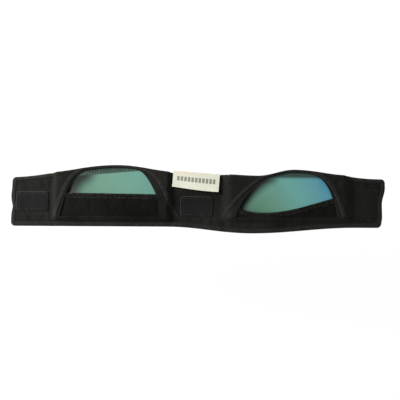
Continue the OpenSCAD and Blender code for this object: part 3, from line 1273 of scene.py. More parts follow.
@dataclass
class BandForm:
    """The outline and the heights of the whole band.

    Attributes:
        folds: Places of the four fold lines.
        pockets: Middles of the two pockets.
        end: Distance from the middle to either end.
        width: Width of the band at its ends.
        crown: How far the upper edge rises all along the band.
        bow: How far the lower edge bows out, at bow_place, over bow_runs to either side.
        rises: How far the upper edge rises over each pocket, over left_runs and right_runs.
        right_shift: How far the right rise is from its pocket's middle.
        corner: Radius of the end corners.
        face: Height of the outer cloth at the edge, which swells by the puff.
        pocket_top: Height of the outer cloth over a pocket.
        cloth: Thickness of the outer cloth.
        pad_top: Height of the padded back.
        floor_up: Height of a pocket's floor above the lower edge, less the clearance.
        wall_feet: Where the wall of each pocket meets the plain band, from its middle.
        wall_top: Where that wall starts to fall.
        valley: Depth of the outer cloth's valley at a fold, and valley_width its width.
        settled: How far the upper edge is drawn down over a full pocket.
        sunk: How far the lower edge hangs below its line.
    """

    folds: tuple[float, float, float, float]
    pockets: tuple[float, float]
    end: float
    width: float = 38.0
    crown: float = 3.5
    bow: float = 5.0
    bow_place: float = 42.0
    bow_runs: tuple[float, float] = (66.0, 85.0)
    rises: tuple[float, float] = (8.7, 6.2)
    left_runs: tuple[float, float] = (84.0, 66.0)
    right_runs: tuple[float, float] = (32.0, 66.0)
    right_shift: float = 7.0
    corner: float = 3.0
    face: float = 3.35
    puff: float = 0.55
    pocket_top: float = 8.05
    cloth: float = 0.7
    pad_top: float = 2.75
    floor_up: float = 6.75
    clearance: float = 0.3
    wall_feet: tuple[float, float] = (48.9, 54.5)
    wall_top: float = 43.7
    valley: float = 0.45
    valley_width: float = 2.4
    settled: float = 0.55
    sunk: float = 0.6
    arches: list[Arch] = field(default_factory=list)

    def __post_init__(self) -> None:
        """Finds the middle of the outline's box, and sets the two arches."""
        self.middle = 0.0
        x = np.arange(-self.end, self.end + 0.5, 1.0)
        self.middle = float(self._top_line(x).max() + self._bottom_line(x).min()) / 2
        base = -self.width / 2 + self.floor_up - self.clearance - self.middle
        shapes = [
            ("left", (4, 4), (0.22, 0.14), (0.5, 4), (2, 8), (7.5, 6.4), 0.0, (0, 2.1)),
            ("right", (2.2, 4), (0.24, 0.22), (0.5, 2.5), (8.7, 1.4), (0, 6.4), 10.0, (0, 0)),
        ]
        for place, shape in zip(self.pockets, shapes):
            name, full, lean, facing, flare, hem, sag, pull = shape
            rise = float(self._top_line(np.array([place]))[0]) - self.middle - base
            ends = (hem[0] - self.middle, hem[1] - self.middle)
            self.arches.append(
                Arch(name, place, base, rise, full, lean, facing, flare, ends, sag, pull=pull)
            )

    def _top_line(self, x: Array) -> Array:
        """The upper edge from the centre line: a crown and two one-sided humps.

        Args:
            x: Places along the band.

        Returns:
            The heights.
        """
        peaks = (self.pockets[0], self.pockets[1] + self.right_shift)
        y = self.width / 2 + self.crown * hump(x / self.end)
        for rise, peak, runs in zip(self.rises, peaks, (self.left_runs, self.right_runs)):
            y = y + rise * hump((x - peak) / np.where(x < peak, runs[0], runs[1]))
        return y

    def _bottom_line(self, x: Array) -> Array:
        """The lower edge from the centre line: a straight line with one bow."""
        run = np.where(x < self.bow_place, self.bow_runs[0], self.bow_runs[1])
        return -self.width / 2 - self.bow * hump((x - self.bow_place) / run)

    def over_pocket(self, x: Array) -> Array:
        """1 above the middle of a pocket, falling softly to 0 beside it."""
        off, _ = self.beside(x)
        return smooth((52 - np.abs(off)) / 22)

    def _cut(self, x: Array) -> Array:
        """How far the rounded end corners lower an edge: a quarter circle."""
        d = np.clip(self.end - np.abs(x), 0, self.corner)
        return self.corner - np.sqrt(self.corner**2 - (self.corner - d) ** 2)

    def top(self, x: Array) -> Array:
        """The upper edge: drawn down a little by the full pockets, a little higher at the tabs."""
        shift = self.settled * (smooth((np.abs(x) - 108) / 14) - self.over_pocket(x))
        return self._top_line(x) - self.middle - self._cut(x) + shift

    def bottom(self, x: Array) -> Array:
        """The lower edge, which hangs a little below the cut line."""
        return self._bottom_line(x) - self.middle + self._cut(x) - self.sunk

    def warp(self, points: Array) -> Array:
        """Points moved as hand-cut ends are: a waist on the left, a slant on the right.

        Args:
            points: The points.

        Returns:
            The moved points.
        """
        x, y = points[:, 0], points[:, 1]
        near = smooth((np.abs(x) - self.end + 16) / 14)
        waist = 0.9 * np.exp(-(((y + 7) / 3.5) ** 2)) - 0.5 * np.exp(-(((y - 2) / 5.0) ** 2))
        slant = 0.9 - 2.8 * smooth((10 - y) / 14) - 1.1 * smooth((-14 - y) / 8)
        moved = points.copy()
        moved[:, 0] += near * np.where(x < 0, waist, slant)
        return moved

    def depth(self, x: Array, y: Array) -> Array:
        """Distance to the nearest edge of the band, roughly."""
        across = np.minimum(self.top(x) - y, y - self.bottom(x))
        return np.minimum(across, self.end - np.abs(x))

    def beside(self, x: Array) -> tuple[Array, Array]:
        """Distance along the band from the nearer pocket's middle, and that pocket's index."""
        k = (x > 0).astype(int)
        return x - np.where(k == 0, self.pockets[0], self.pockets[1]), k

    def lift(self, x: Array, y: Array) -> Array:
        """1 over a pocket and 0 on the plain band, with a soft wall between.

        Args:
            x: Places along the band.
            y: Places across the band.

        Returns:
            The share of the height of a pocket.
        """
        off, k = self.beside(x)
        reach = np.where(k == 0, *self.wall_feet) + 0.4 * ripple(x, y, 22, 13)
        side = smooth((reach - np.abs(off)) / (reach - self.wall_top))
        floor = smooth((y - self.arches[0].base + 4.4) / 4.4)
        return side * floor

    def skin(self, x: Array, y: Array) -> Array:
        """Height of the outer cloth's face.

        Plain band: a face that swells away from the edges, with soft waves and a shallow
        valley at each fold. Over a pocket it stands level with the pocket's walls and
        settles a little towards the arch's peak.

        Args:
            x: Places along the band.
            y: Places across the band.

        Returns:
            The heights.
        """
        depth = self.depth(x, y)
        plain = self.face + self.puff * smooth(depth / 9) + 0.13 * ripple(x, y, 26, 3)
        plain = plain + 0.06 * ripple(x, y, 9, 11)
        for place in self.folds:
            plain = plain - self.valley * np.exp(-(((x - place) / self.valley_width) ** 2))
        up = smooth((y - self.arches[0].base - 22) / 18)
        pocket = self.pocket_top - 0.8 * up + (0.1 - 0.07 * up) * ripple(x, y, 18, 5)
        lift = self.lift(x, y)
        return plain + (pocket - plain) * lift

    def under(self, x: Array, y: Array) -> Array:
        """Height of the lining's face: flat, and drawn up towards the edges."""
        drawn = 0.85 * (1 - smooth(self.depth(x, y) / 4.5))
        return 0.1 + drawn + 0.05 * (1 + ripple(x, y, 15, 21))

    def mouth(self, x: Array) -> Array:
        """1 along a pocket's mouth, where front and back are apart, and 0 beside it."""
        off, _ = self.beside(x)
        return 1 - smooth((np.abs(off) - 44.2) / 3.4)


@dataclass
class Span:
    """A stretch of the band that reaches over one fold line."""

    name: str
    start: float
    end: float
    ride: Ride

    def stations(self, low: float, high: float, step: float, form: BandForm) -> Array:
        """Places between two limits, closer together round the band's end corners.

        Args:
            low: The lower limit.
            high: The upper limit.
            step: About how far apart the places are.
            form: The band's form.

        Returns:
            The places.
        """
        count = max(2, int(round((high - low) / step)) + 1)
        places = np.linspace(low, high, count)
        for side in (-1, 1):
            tip = side * form.end
            if low - 0.01 <= tip <= high + 0.01:
                turn = tip - side * form.corner * (1 - np.sin(np.linspace(0, np.pi / 2, 9)))
                away = np.abs(places - tip) > form.corner + 0.01
                places = np.concatenate([places[away], turn])
        return np.unique(np.round(places, 5))


class Side(Enum):
    """Which long edges of the band a strip of tape follows."""

    TOP = "top"
    BOTTOM = "bottom"
    ROUND = "round an end"


@dataclass
class Band:
    """The outer cloth, the padded back, and the tape and stitches round the edge."""

    form: BandForm
    wardrobe: Wardrobe
    spans: list[Span]
    step: float = 1.1

    def build(self) -> None:
        """Makes every span's pieces."""
        for span in self.spans:
            self._front(span)
            self._back(span)
            self._edge(span)

    def _front(self, span: Span) -> None:
        """The outer cloth of a span, with half of its pocket's window cut out.

        Columns run across the band. Beside the arch they run from edge to edge, and inside
        it from the lower edge to the feet and from the window's edge to the upper edge.

        Args:
            span: The stretch of the band.
        """
        form = self.form
        index = 0 if span.start < 0 and span.end <= 0.01 else 1
        arch = form.arches[index]
        k = 0 if abs(span.end - arch.middle) < 0.01 else 1
        edge = arch.window(k, 84)
        foot = float(edge[0, 0])
        low, high = (span.start, foot) if k == 0 else (foot, span.end)
        inset = 0.35
        plan = Sheet()
        plain = span.stations(low, high, self.step, form)
        inner = edge if k == 0 else edge[::-1]
        for x, y in ((plain, np.full(len(plain), arch.base)), inner.T):
            plan.add(x, form.bottom(x) + inset, np.full(len(x), arch.base), 12)
            plan.add(x, y, form.top(x) - inset, 46)
        flat, quads = plan.joined()
        height = form.skin(flat[:, 0], flat[:, 1])
        loose = self._loose(flat, arch, (span.start, span.end))
        height = height + Settling().run(np.column_stack([flat, height]), quads, loose)
        rub = 0.5 * smooth((2.5 - form.depth(flat[:, 0], flat[:, 1])) / 2.5)
        lift = form.lift(*flat.T)
        rub = rub + 0.35 * lift * (1 - lift) * 2
        shell = slab(form.warp(flat), height, height - form.cloth, quads)
        side = arch.name
        nodes = [f"{side}_outer", "centre_outer" if abs(span.start * span.end) < 0.1
                 else f"{side}_tab_outer"]
        piece = make_piece(
            f"{span.name}_outer_cloth", shell, self.wardrobe.outer, span.ride, nodes,
            np.tile(rub, 2),
        )

    def _loose(self, flat: Array, arch: Arch, ends: tuple[float, float]) -> Array:
        """How free each point of the outer cloth is: 0 at seams, tapes and patches.

        Args:
            flat: The points in plan.
            arch: The span's arch.
            ends: Where the span starts and ends.

        Returns:
            The freedom of each point, from 0 to 1.
        """
        form = self.form
        x, y = flat.T
        free = freed(form.depth(x, y) - 3.2)
        for end in ends:
            free = np.minimum(free, freed(np.abs(x - end) - 0.3))
        for k in (0, 1):
            for line in (arch.window(k, 60), arch.tape_line(k, 0.5, 60, form.top)):
                gap = np.linalg.norm(flat[:, None] - line[None], axis=2).min(1)
                free = np.minimum(free, freed(gap - 2.2))
        for node in ("left_tab_patch", "centre_patch", "right_tab_stitching", "label_leaf"):
            mid, half = middle_and_half(node)
            out = np.maximum(np.abs(x - mid.x) - half.x, np.abs(y - mid.y) - half.y)
            free = np.minimum(free, freed(out - 1))
        return free

    def _back(self, span: Span) -> None:
        """The padded back of a span: foam between the lining and the pocket's inside.

        Args:
            span: The stretch of the band.
        """
        form = self.form
        x = span.stations(span.start, span.end, 1.4, form)
        plan = Sheet()
        plan.add(x, form.bottom(x) + 0.25, form.top(x) - 0.25, 40)
        flat, quads = plan.joined()
        px, py = flat.T
        drawn = 0.7 * (1 - smooth(form.depth(px, py) / 3))
        under = form.under(px, py) + self._hook_recess(px, py)
        rub = 0.3 * smooth((4 - form.depth(px, py)) / 4)
        shell = slab(form.warp(flat), form.pad_top - drawn, under, quads)
        side = "left" if span.start < -1 else "right"
        section = "centre" if abs(span.start * span.end) < 0.1 else f"{side}_tab"
        nodes = [f"{side}_lining", f"{side}_core", f"{section}_lining", f"{section}_core"]
        piece = make_piece(
            f"{span.name}_padding", shell, self.wardrobe.lining, span.ride, nodes,
            np.tile(rub, 2),
        )

    def _hook_recess(self, x: Array, y: Array) -> Array:
        """How far the lining is drawn up over the hook patch.

        Args:
            x: Places along the band.
            y: Places across the band.

        Returns:
            The rise of the lining.
        """
        mid, half = middle_and_half("right_tab_hook_patch")
        inside = smooth((half.x + 0.8 - np.abs(x - mid.x)) / 0.8)
        return 0.45 * inside * smooth((half.y + 0.8 - np.abs(y - mid.y)) / 0.8)

    def _edge_path(self, span: Span, side: Side) -> Array:
        """The outline along one or both long edges of a span, clockwise.

        Args:
            span: The stretch of the band.
            side: Which edges.

        Returns:
            The path.
        """
        form = self.form
        x = span.stations(span.start, span.end, 1.0, form)
        upper = np.stack([x, form.top(x)], axis=1)
        lower = np.stack([x, form.bottom(x)], axis=1)[::-1]
        if side is Side.TOP:
            return upper
        if side is Side.BOTTOM:
            return lower
        at_left = span.start < -form.end + 0.1
        first, second = (lower, upper) if at_left else (upper, lower)
        a, b = first[-1], second[0]
        t = np.linspace(0, 1, 26)[1:-1, None]
        return np.concatenate([first, mix(a, b, t), second])

    def _tape_rings(self, path: Array) -> Array:
        """The tape's section at each station of a path.

        The section is a C that is closed inside the padding: its upper leaf lies on the
        outer cloth, or on the padded back along a pocket's mouth, its round part stands just
        proud of the edge, and its lower leaf lies on the lining.

        Args:
            path: The outline, clockwise.

        Returns:
            Points by station and by place round the section.
        """
        form = self.form
        section = np.array(
            [
                [3.3, 1, -0.3], [3.2, 1, 0.16], [2.95, 1, 0.34], [2.1, 1, 0.4], [1.2, 1, 0.38],
                [0.55, 1, 0.24], [0.12, 1, -0.1], [-0.16, 0.72, 0], [-0.24, 0.5, 0],
                [-0.16, 0.28, 0], [0.12, 0, 0.1], [0.55, 0, -0.16], [1.4, 0, -0.26],
                [2.6, 0, -0.24], [3.2, 0, -0.1], [3.3, 0, 0.3],
            ]
        )
        out, level, proud = section.T
        x, y = np.moveaxis(beside_path(path, out), -1, 0)
        near = np.maximum(out, 0.35)
        at = np.moveaxis(beside_path(path, near), -1, 0)
        on_cloth = form.skin(*at)
        drawn = 0.7 * (1 - smooth(near / 3))[None, :]
        on_pad = form.pad_top - drawn - 0.25
        mouth = form.mouth(x) * (y > 0)
        upper = mix(on_cloth, on_pad, mouth)
        upper = np.minimum(upper, form.face + form.puff + 0.4 + 3 * (1 - form.lift(x, y)))
        lower = form.under(*at)
        z = lower + (upper - lower) * level[None, :] + proud[None, :]
        return np.stack([x, y, np.maximum(z, 0.03)], axis=2)

    def _edge(self, span: Span) -> None:
        """The tape round a span's edge, and the stitches on its two leaves.

        Args:
            span: The stretch of the band.
        """
        form = self.form
        at_end = abs(span.start) > form.end - 0.1 or abs(span.end) > form.end - 0.1
        sides = [Side.ROUND] if at_end else [Side.TOP, Side.BOTTOM]
        side = "left" if span.start < -1 else "right"
        for which in sides:
            path = self._edge_path(span, which)
            rings = self._tape_rings(path)
            shell = swept(rings)
            shell.points = form.warp(shell.points)
            if which is Side.ROUND:
                nodes = [f"{side}_tab_binding"]
                name = f"{span.name}_edge_tape"
            else:
                nodes = [f"centre_{which.value}_binding", f"{side}_{which.value}_binding"]
                name = f"{span.name}_{which.value}_edge_tape"
            rub = np.tile(fold_rub(rings.shape[1], 0.75, 14.0), len(path))
            make_piece(name, shell, self.wardrobe.tape, span.ride, nodes, rub)
            self._edge_stitches(span, path, name.replace("tape", "stitches"))

    def _edge_stitches(self, span: Span, path: Array, name: str) -> None:
        """Stitches along the middle of both leaves of the edge tape.

        Args:
            span: The stretch of the band.
            path: The outline that the tape follows.
            name: Name of the piece.
        """
        form = self.form
        line = path + inward(path) * 2.3
        spots, turns = along_path(line, STITCH_PITCH)
        mouth = form.mouth(spots[:, 0]) * (spots[:, 1] > 0)
        skin = mix(form.skin(*spots.T), form.pad_top - 0.3, mouth)
        kept = mouth < 0.02
        upper = np.column_stack([spots, skin + 0.4])[kept]
        lower = np.column_stack([spots, np.maximum(form.under(*spots.T) - 0.24, 0.12)])
        spots3 = form.warp(np.concatenate([upper, lower]))
        shell = stitch_shell(spots3, np.concatenate([turns[kept], turns]), 2.1, 0.34)
        make_piece(name, shell, self.wardrobe.thread, span.ride)


@dataclass
class Pocket:
    """The taped arch, mouth lip, front panel and hem of one pocket.

    Attributes:
        form: The band's form.
        arch: The pocket's arch.
        wardrobe: The finishes.
        spans: The two stretches of the band that the pocket lies on.
        panel_top: Height of the panel's face.
        panel_cloth: Thickness of the panel.
        panel_half: Half the panel's width.
        lip_reach: Half the width of the mouth's folded edge.
    """

    form: BandForm
    arch: Arch
    wardrobe: Wardrobe
    spans: tuple[Span, Span]
    panel_top: float = 7.12
    panel_cloth: float = 0.5
    panel_half: float = 43.2
    lip_reach: float = 46.6

    def build(self) -> None:
        """Makes the pocket's pieces."""
        for k in (0, 1):
            self._arch_tape(k)
            self._lip(k)
        self._panel()
        self._hem()

    def _arch_tape(self, k: int) -> None:
        """One leg of the arch's tape: a flat strip with rolled edges, and its stitches.

        Args:
            k: The leg, 0 or 1.
        """
        form = self.form
        shares = np.array([0, 0.03, 0.12, 0.3, 0.5, 0.7, 0.88, 0.97, 1])
        proud = np.array([-0.1, 0.3, 0.5, 0.56, 0.58, 0.56, 0.5, 0.3, -0.1])
        count = 96
        lines = np.stack([self.arch.tape_line(k, s, count, form.top) for s in shares], axis=1)
        x, y = lines[..., 0], lines[..., 1]
        z = form.skin(x, y)
        pucker = 0.05 * np.sin(np.linspace(0, count * 0.9, count))[:, None]
        end = smooth(np.linspace(0, 1, count) * 30)[:, None]
        top = np.stack([x, y, z + (proud[None, :] + pucker) * end], axis=2)
        low = np.stack([x[:, ::-1], y[:, ::-1], z[:, ::-1] - 0.25], axis=2)
        skin = form.warp(np.concatenate([top, low], 1).reshape(-1, 3))
        shell = swept(skin.reshape(count, -1, 3))
        rub = np.concatenate([np.array([1, 0.9, 0.5, 0.2, 0.15, 0.2, 0.5, 0.9, 1]), np.zeros(9)])
        name = f"{self.arch.name}_arch_tape_{'ab'[k]}"
        ride = self.spans[k].ride
        make_piece(name, shell, self.wardrobe.tape, ride, [f"{self.arch.name}_arch_binding"],
                   np.tile(rub * 0.8, count))
        for share, label in ((0.82, "outer"), (0.2, "inner")):
            line = self.arch.tape_line(k, share, 300, form.top)
            line = line[line[:, 1] < form.top(line[:, 0]) - 0.6]
            spots, turns = along_path(line, STITCH_PITCH)
            height = form.skin(*spots.T) + 0.5
            made = stitch_shell(form.warp(np.column_stack([spots, height])), turns, 2.2, 0.34)
            make_piece(f"{self.arch.name}_arch_{label}_stitches_{'ab'[k]}", made,
                       self.wardrobe.thread, ride)

    def _lip(self, k: int) -> None:
        """Half of the folded edge along the pocket's mouth, a small C round the cloth.

        Args:
            k: The half, 0 or 1.
        """
        form, arch = self.form, self.arch
        ends = sorted((arch.middle, arch.middle + side_of(k) * self.lip_reach))
        along = np.linspace(*ends, 64)
        path = np.stack([along, form.top(along)], axis=1)
        section = np.array(
            [
                [2.1, 0, -0.1], [2.0, 0, 0.16], [1.7, 0, 0.26], [0.8, 0, 0.28], [0.25, 0, 0.12],
                [-0.05, 0.5, 0], [0.25, 1, -0.1], [0.9, 1, -0.18], [1.7, 1, -0.18], [1.9, 1, 0.1],
            ]
        )
        out, share, proud = section.T
        x, y = np.moveaxis(beside_path(path, out), -1, 0)
        z = form.skin(x, y - 0.35) - form.cloth * share[None, :] + proud[None, :]
        rings = np.stack([x, y, z], axis=2)
        rub = np.tile(fold_rub(len(section), 0.6, 5.0), len(path))
        make_piece(f"{arch.name}_mouth_fold_{'ab'[k]}", swept(rings), self.wardrobe.outer,
                   self.spans[k].ride, (), rub)

    def _panel_height(self, x: Array, y: Array) -> Array:
        """Height of the front panel's face: level, and swollen inside the window.

        Args:
            x: Places along the band.
            y: Places across the band.

        Returns:
            The heights.
        """
        arch = self.arch
        off = (x - arch.middle) / 40
        v = np.clip((y - arch.base) / (arch.hem_y(x) - arch.base), 0, 1)
        swell = np.clip(1 - off**4, 0, 1) * (0.25 + 0.75 * np.sin(np.pi * v**0.8))
        wave = 0.12 * ripple(x, y, 16, 31 if arch.name == "left" else 37)
        return self.panel_top + (0.5 * swell + wave) * smooth((1.05 - np.abs(off)) / 0.25)

    def _section(self) -> Ride:
        """The body that the pocket's panel is sewn to."""
        return Ride(f"{self.arch.name}_section")

    def _panel(self) -> None:
        """The stretch panel across the lower part of the pocket."""
        arch = self.arch
        x = np.linspace(arch.middle - self.panel_half, arch.middle + self.panel_half, 90)
        plan = Sheet()
        plan.add(x, np.full(len(x), arch.base - 1.0), arch.hem_y(x), 34)
        flat, quads = plan.joined()
        z = self._panel_height(*flat.T)
        side = self.panel_half - np.abs(flat[:, 0] - arch.middle)
        gaps = [side - 1, flat[:, 1] - arch.base - 1, arch.hem_y(flat[:, 0]) - flat[:, 1] - 4.6]
        loose = freed(np.minimum.reduce(gaps))
        z = z + Settling(extra=0.02, cap=0.25).run(np.column_stack([flat, z]), quads, loose)
        piece = make_piece(
            f"{arch.name}_pocket_panel", slab(flat, z, z - self.panel_cloth, quads),
            self.wardrobe.panel, self._section(), [f"{arch.name}_pocket_front"],
            np.zeros(2 * len(flat)),
        )

    def _hem(self) -> None:
        """The rolled hem on the panel's upper edge, and its row of stitches."""
        arch = self.arch
        y_mid = float(arch.hem_y(np.array([arch.middle]))[0])
        reach = [float(arch.window_half(k, np.array([y_mid]))[0]) + 1.2 for k in (0, 1)]
        x = np.linspace(arch.middle - reach[0], arch.middle + reach[1], 120)
        out = np.array([0.3, 0.1, -0.25, -1.2, -2.4, -3.4, -3.95, -4.1])
        proud = np.array([-0.35, 0.1, 0.4, 0.52, 0.5, 0.42, 0.26, -0.1])
        y = arch.hem_y(x)[:, None] + out[None, :]
        wide = np.broadcast_to(x[:, None], y.shape)
        k = (wide > arch.middle).astype(int)
        edge = np.where(k == 0, arch.window_half(0, y), arch.window_half(1, y))
        inside = smooth((edge + 0.6 - np.abs(wide - arch.middle)) / 2.5)
        face = self._panel_height(wide, np.minimum(y, arch.hem_y(wide) - 0.1))
        z = face + proud[None, :] * (0.3 + 0.7 * inside)
        low = face[:, ::-1] - self.panel_cloth - 0.05
        rings = np.concatenate(
            [np.stack([wide, y, z], 2), np.stack([wide, y[:, ::-1] - 0.02, low], 2)], axis=1
        )
        rub = np.tile(np.array([0.5, 0.8, 0.7, 0.2, 0.1, 0.2, 0.5, 0.5] + [0.0] * 8), 120)
        make_piece(f"{arch.name}_hem", swept(rings), self.wardrobe.panel, self._section(),
                   [f"{arch.name}_pocket_hem"], rub)
        line_x = np.linspace(arch.middle - reach[0] + 3, arch.middle + reach[1] - 3, 300)
        line = np.stack([line_x, arch.hem_y(line_x) - 3.1], axis=1)
        spots, turns = along_path(line, STITCH_PITCH)
        height = self._panel_height(*spots.T) + 0.42
        shell = stitch_shell(np.column_stack([spots, height]), turns, 2.2, 0.45)
        make_piece(f"{arch.name}_hem_stitches", shell, self.wardrobe.thread, self._section(),
                   [f"{arch.name}_hem_stitching"])


@dataclass
class GelInsert:
    """A crowned gel pad in welded film, in the shape of its arch.

    Attributes:
        arch: The arch that it lies behind.
        dress: Its material and slot.
        half: Half its width at its feet.
        lower: Height of its lower face.
        weld: Thickness of the welded rim.
        thick: Thickness of the full pad.
        weld_width: Width of the welded rim.
        shoulders: Width of the crowned edge on the left and on the right.
        cover: How far its peak stays below the arch's.
        crest_rim: Thickness of its edge at the peak.
        edge_shade_reach: Distance from the left side over which the painted shade gives way to the
            film's colour.
        corner: Radius of the corners at its feet.
        settled: How far it stands off the pocket's floor.
    """

    arch: Arch
    dress: Dress
    half: float = 43.0
    lower: float = 3.12
    weld: float = 0.75
    thick: float = 3.25
    weld_width: float = 2.1
    shoulders: tuple[float, float] = (15.0, 4.0)
    cover: float = 1.7
    crest_rim: float = 3.0
    edge_shade_reach: float = 16.0
    corner: float = 4.0
    settled: float = 0.3

    def _grid(self, legs: list[Array]) -> tuple[Array, Array]:
        """Columns from the line of the feet, with its rounded corners, up to the outline.

        Args:
            legs: The outline's two legs, each from foot to peak.

        Returns:
            The points by column, and each point's distance to the outline.
        """
        line = np.concatenate([legs[0], legs[1][::-1][1:]])
        x, high = line[:, 0], line[:, 1] + self.settled
        base = self.arch.base + self.settled
        off = np.abs(x - self.arch.middle)
        turn = np.clip((off - self.half + self.corner) / self.corner, 0, 1)
        low = np.minimum(base + self.corner * (1 - np.sqrt(1 - turn**2)), high)
        t = (1 - np.cos(np.pi * np.linspace(0, 1, 44))) / 2
        y = mix(low[:, None], high[:, None], t)
        grid = np.stack([np.broadcast_to(x[:, None], y.shape), y], axis=2)
        border = np.concatenate([np.stack([x, high], 1), np.stack([x, low], 1)])
        return grid, np.linalg.norm(grid.reshape(-1, 1, 2) - border[None], axis=2).min(1)

    def _crown(self, leg: Array, places: Array, gap: Array) -> tuple[Array, Array, Array]:
        """The face's height above the lower face.

        It rises from the weld in a quarter ellipse to a level crown, by the distance to the outline.
        The left side has a wide shoulder, and there a mask of painted shade rises slowly from its
        weld, standing for the shadow of the cloth's edge.

        Args:
            leg: The outline's first leg.
            places: Points in plan.
            gap: Each point's distance to the outline.

        Returns:
            The heights, how far up its shoulder each point is, and the painted-shade mask there, 0 in
            the darkest shade.
        """
        arch = self.arch
        side = leg[leg[:, 1] < arch.base + 0.88 * arch.rise]
        side_gap = np.linalg.norm(places[:, None] - side[None], axis=2).min(1)
        lean = smooth((arch.middle + 6 - places[:, 0]) / 30)
        wide = mix(self.shoulders[1], self.shoulders[0], lean)
        up = np.clip((gap - self.weld_width * lean) / wide, 0, 1)
        crest = smooth((places[:, 1] - arch.base - arch.rise + 24) / 14)
        rim = self.weld + (self.crest_rim - self.weld) * np.maximum(crest, 0.6 * (1 - lean))
        # Painted shade mask: low near the left leg, 1 further in and all over the right side.
        full = np.maximum(np.clip((side_gap - 1.5) / self.edge_shade_reach, 0, 1), 1 - lean)
        rolled = smooth(gap / 0.7) * 0.35 + 0.65
        face = (rim + (self.thick - rim) * np.sqrt(1 - (1 - up) ** 2.4)) * rolled
        return face, up, full

    def build(self) -> None:
        """Makes the pad, with soft waves on its crown."""
        name = self.arch.name
        legs = [self.arch.leg(k, self.half, self.arch.rise - self.cover, 110) for k in (0, 1)]
        grid, gap = self._grid(legs)
        places = grid.reshape(-1, 2)
        face, up, full = self._crown(legs[0], places, gap)
        flat, quads = Sheet([grid]).joined()
        _, order = np.unique(np.round(places, 4), axis=0, return_index=True)
        wave = 0.06 * ripple(*flat.T, 14, 41) * up[order]
        shell = slab(flat, self.lower + face[order] + wave, np.full(len(flat), self.lower), quads)
        # The fill attribute carries the painted shade at the left edge to the film's material.
        piece = make_piece(
            f"{name}_gel_insert", shell, self.dress, Ride(f"{name}_insert"),
            [f"{name}_insert_back_film", f"{name}_insert_front_film", f"{name}_insert_gel"],
            {"fill": np.tile(full[order], 2)},
        )


@dataclass
class FlatPatch:
    """A rounded rectangle of fastening tape, with a box of stitches.

    Attributes:
        name: Name of the piece.
        node: The CAD node that it replaces.
        thick: Its thickness.
        tuft: Height of its tufts.
        seed: Picks the tufts.
        seam: How far the stitches are from its edge.
    """

    name: str
    node: str
    thick: float
    tuft: float
    seed: int
    seam: float = 1.6

    def build(
        self,
        surface: Surface,
        dress: Dress,
        ride: Ride,
        above: float = 0.0,
        downwards: bool = False,
    ) -> None:
        """Makes the patch on a surface.

        A square grid has its corners drawn in by the eighth power of U times V, and its face
        falls to the surface over the last millimetre.

        Args:
            surface: Gives the height that the patch lies on.
            dress: Its material and slot.
            ride: What it follows.
            above: How far above the surface it lies.
            downwards: Whether its face looks down.
        """
        mid, half = middle_and_half(self.node)
        u, v = np.meshgrid(np.linspace(-1, 1, 96), np.linspace(-1, 1, 64), indexing="ij")
        pull = 1 - 0.05 * np.abs(u * v) ** 8
        x, y = mid.x + half.x * u * pull, mid.y + half.y * v * pull
        edge = np.minimum(half.x * (1 - np.abs(u)), half.y * (1 - np.abs(v)))
        chance = np.random.default_rng(self.seed)
        fuzz = chance.normal(0, 1, u.shape) * self.tuft * smooth(edge / 0.5)
        dent = 0.3 * np.exp(-(((edge - self.seam) / 0.5) ** 2))
        rise = self.thick * (0.25 + 0.75 * np.sqrt(np.clip(edge / 0.9, 0, 1))) - dent + fuzz
        base = surface(x, y) + above
        sign = -1 if downwards else 1
        face = base + sign * np.maximum(rise, 0.05)
        if downwards:
            face = np.maximum(face, 0.02)
        back = base - sign * 0.3
        top, below = (back, face) if downwards else (face, back)
        shell = closed(
            np.stack([x, y, top], 2).reshape(-1, 3),
            np.stack([x, y, below], 2).reshape(-1, 3),
            grid_quads(*u.shape),
        )
        rub = np.tile((0.5 * np.exp(-edge / 0.8)).ravel(), 2)
        piece = make_piece(self.name, shell, dress, ride, [self.node], rub, 75.0)

    def stitches(
        self,
        surface: Surface,
        dress: Dress,
        ride: Ride,
        above: float,
        node: str,
    ) -> None:
        """A closed box of stitches, a little inside the patch's edge.

        Args:
            surface: Gives the height of the cloth.
            dress: The thread and its slot.
            ride: What the stitches follow.
            above: How far above the surface they lie.
            node: The CAD node that they replace.
        """
        mid, half = middle_and_half(self.node)
        a, b = half.x - self.seam, half.y - self.seam
        corners = np.array([[-a, -b], [a, -b], [a, b], [-a, b]])
        spots, turns = [], []
        for k in range(4):
            line = np.stack([corners[k], corners[(k + 1) % 4]]) + np.array([mid.x, mid.y])
            found, angle = along_path(line, STITCH_PITCH, 1.7)
            spots.append(found)
            turns.append(angle)
        flat = np.concatenate(spots)
        shell = stitch_shell(
            np.column_stack([flat, surface(*flat.T) + above]), np.concatenate(turns), 2.2, 0.5
        )
        make_piece(f"{self.name}_stitches", shell, dress, ride, [node])


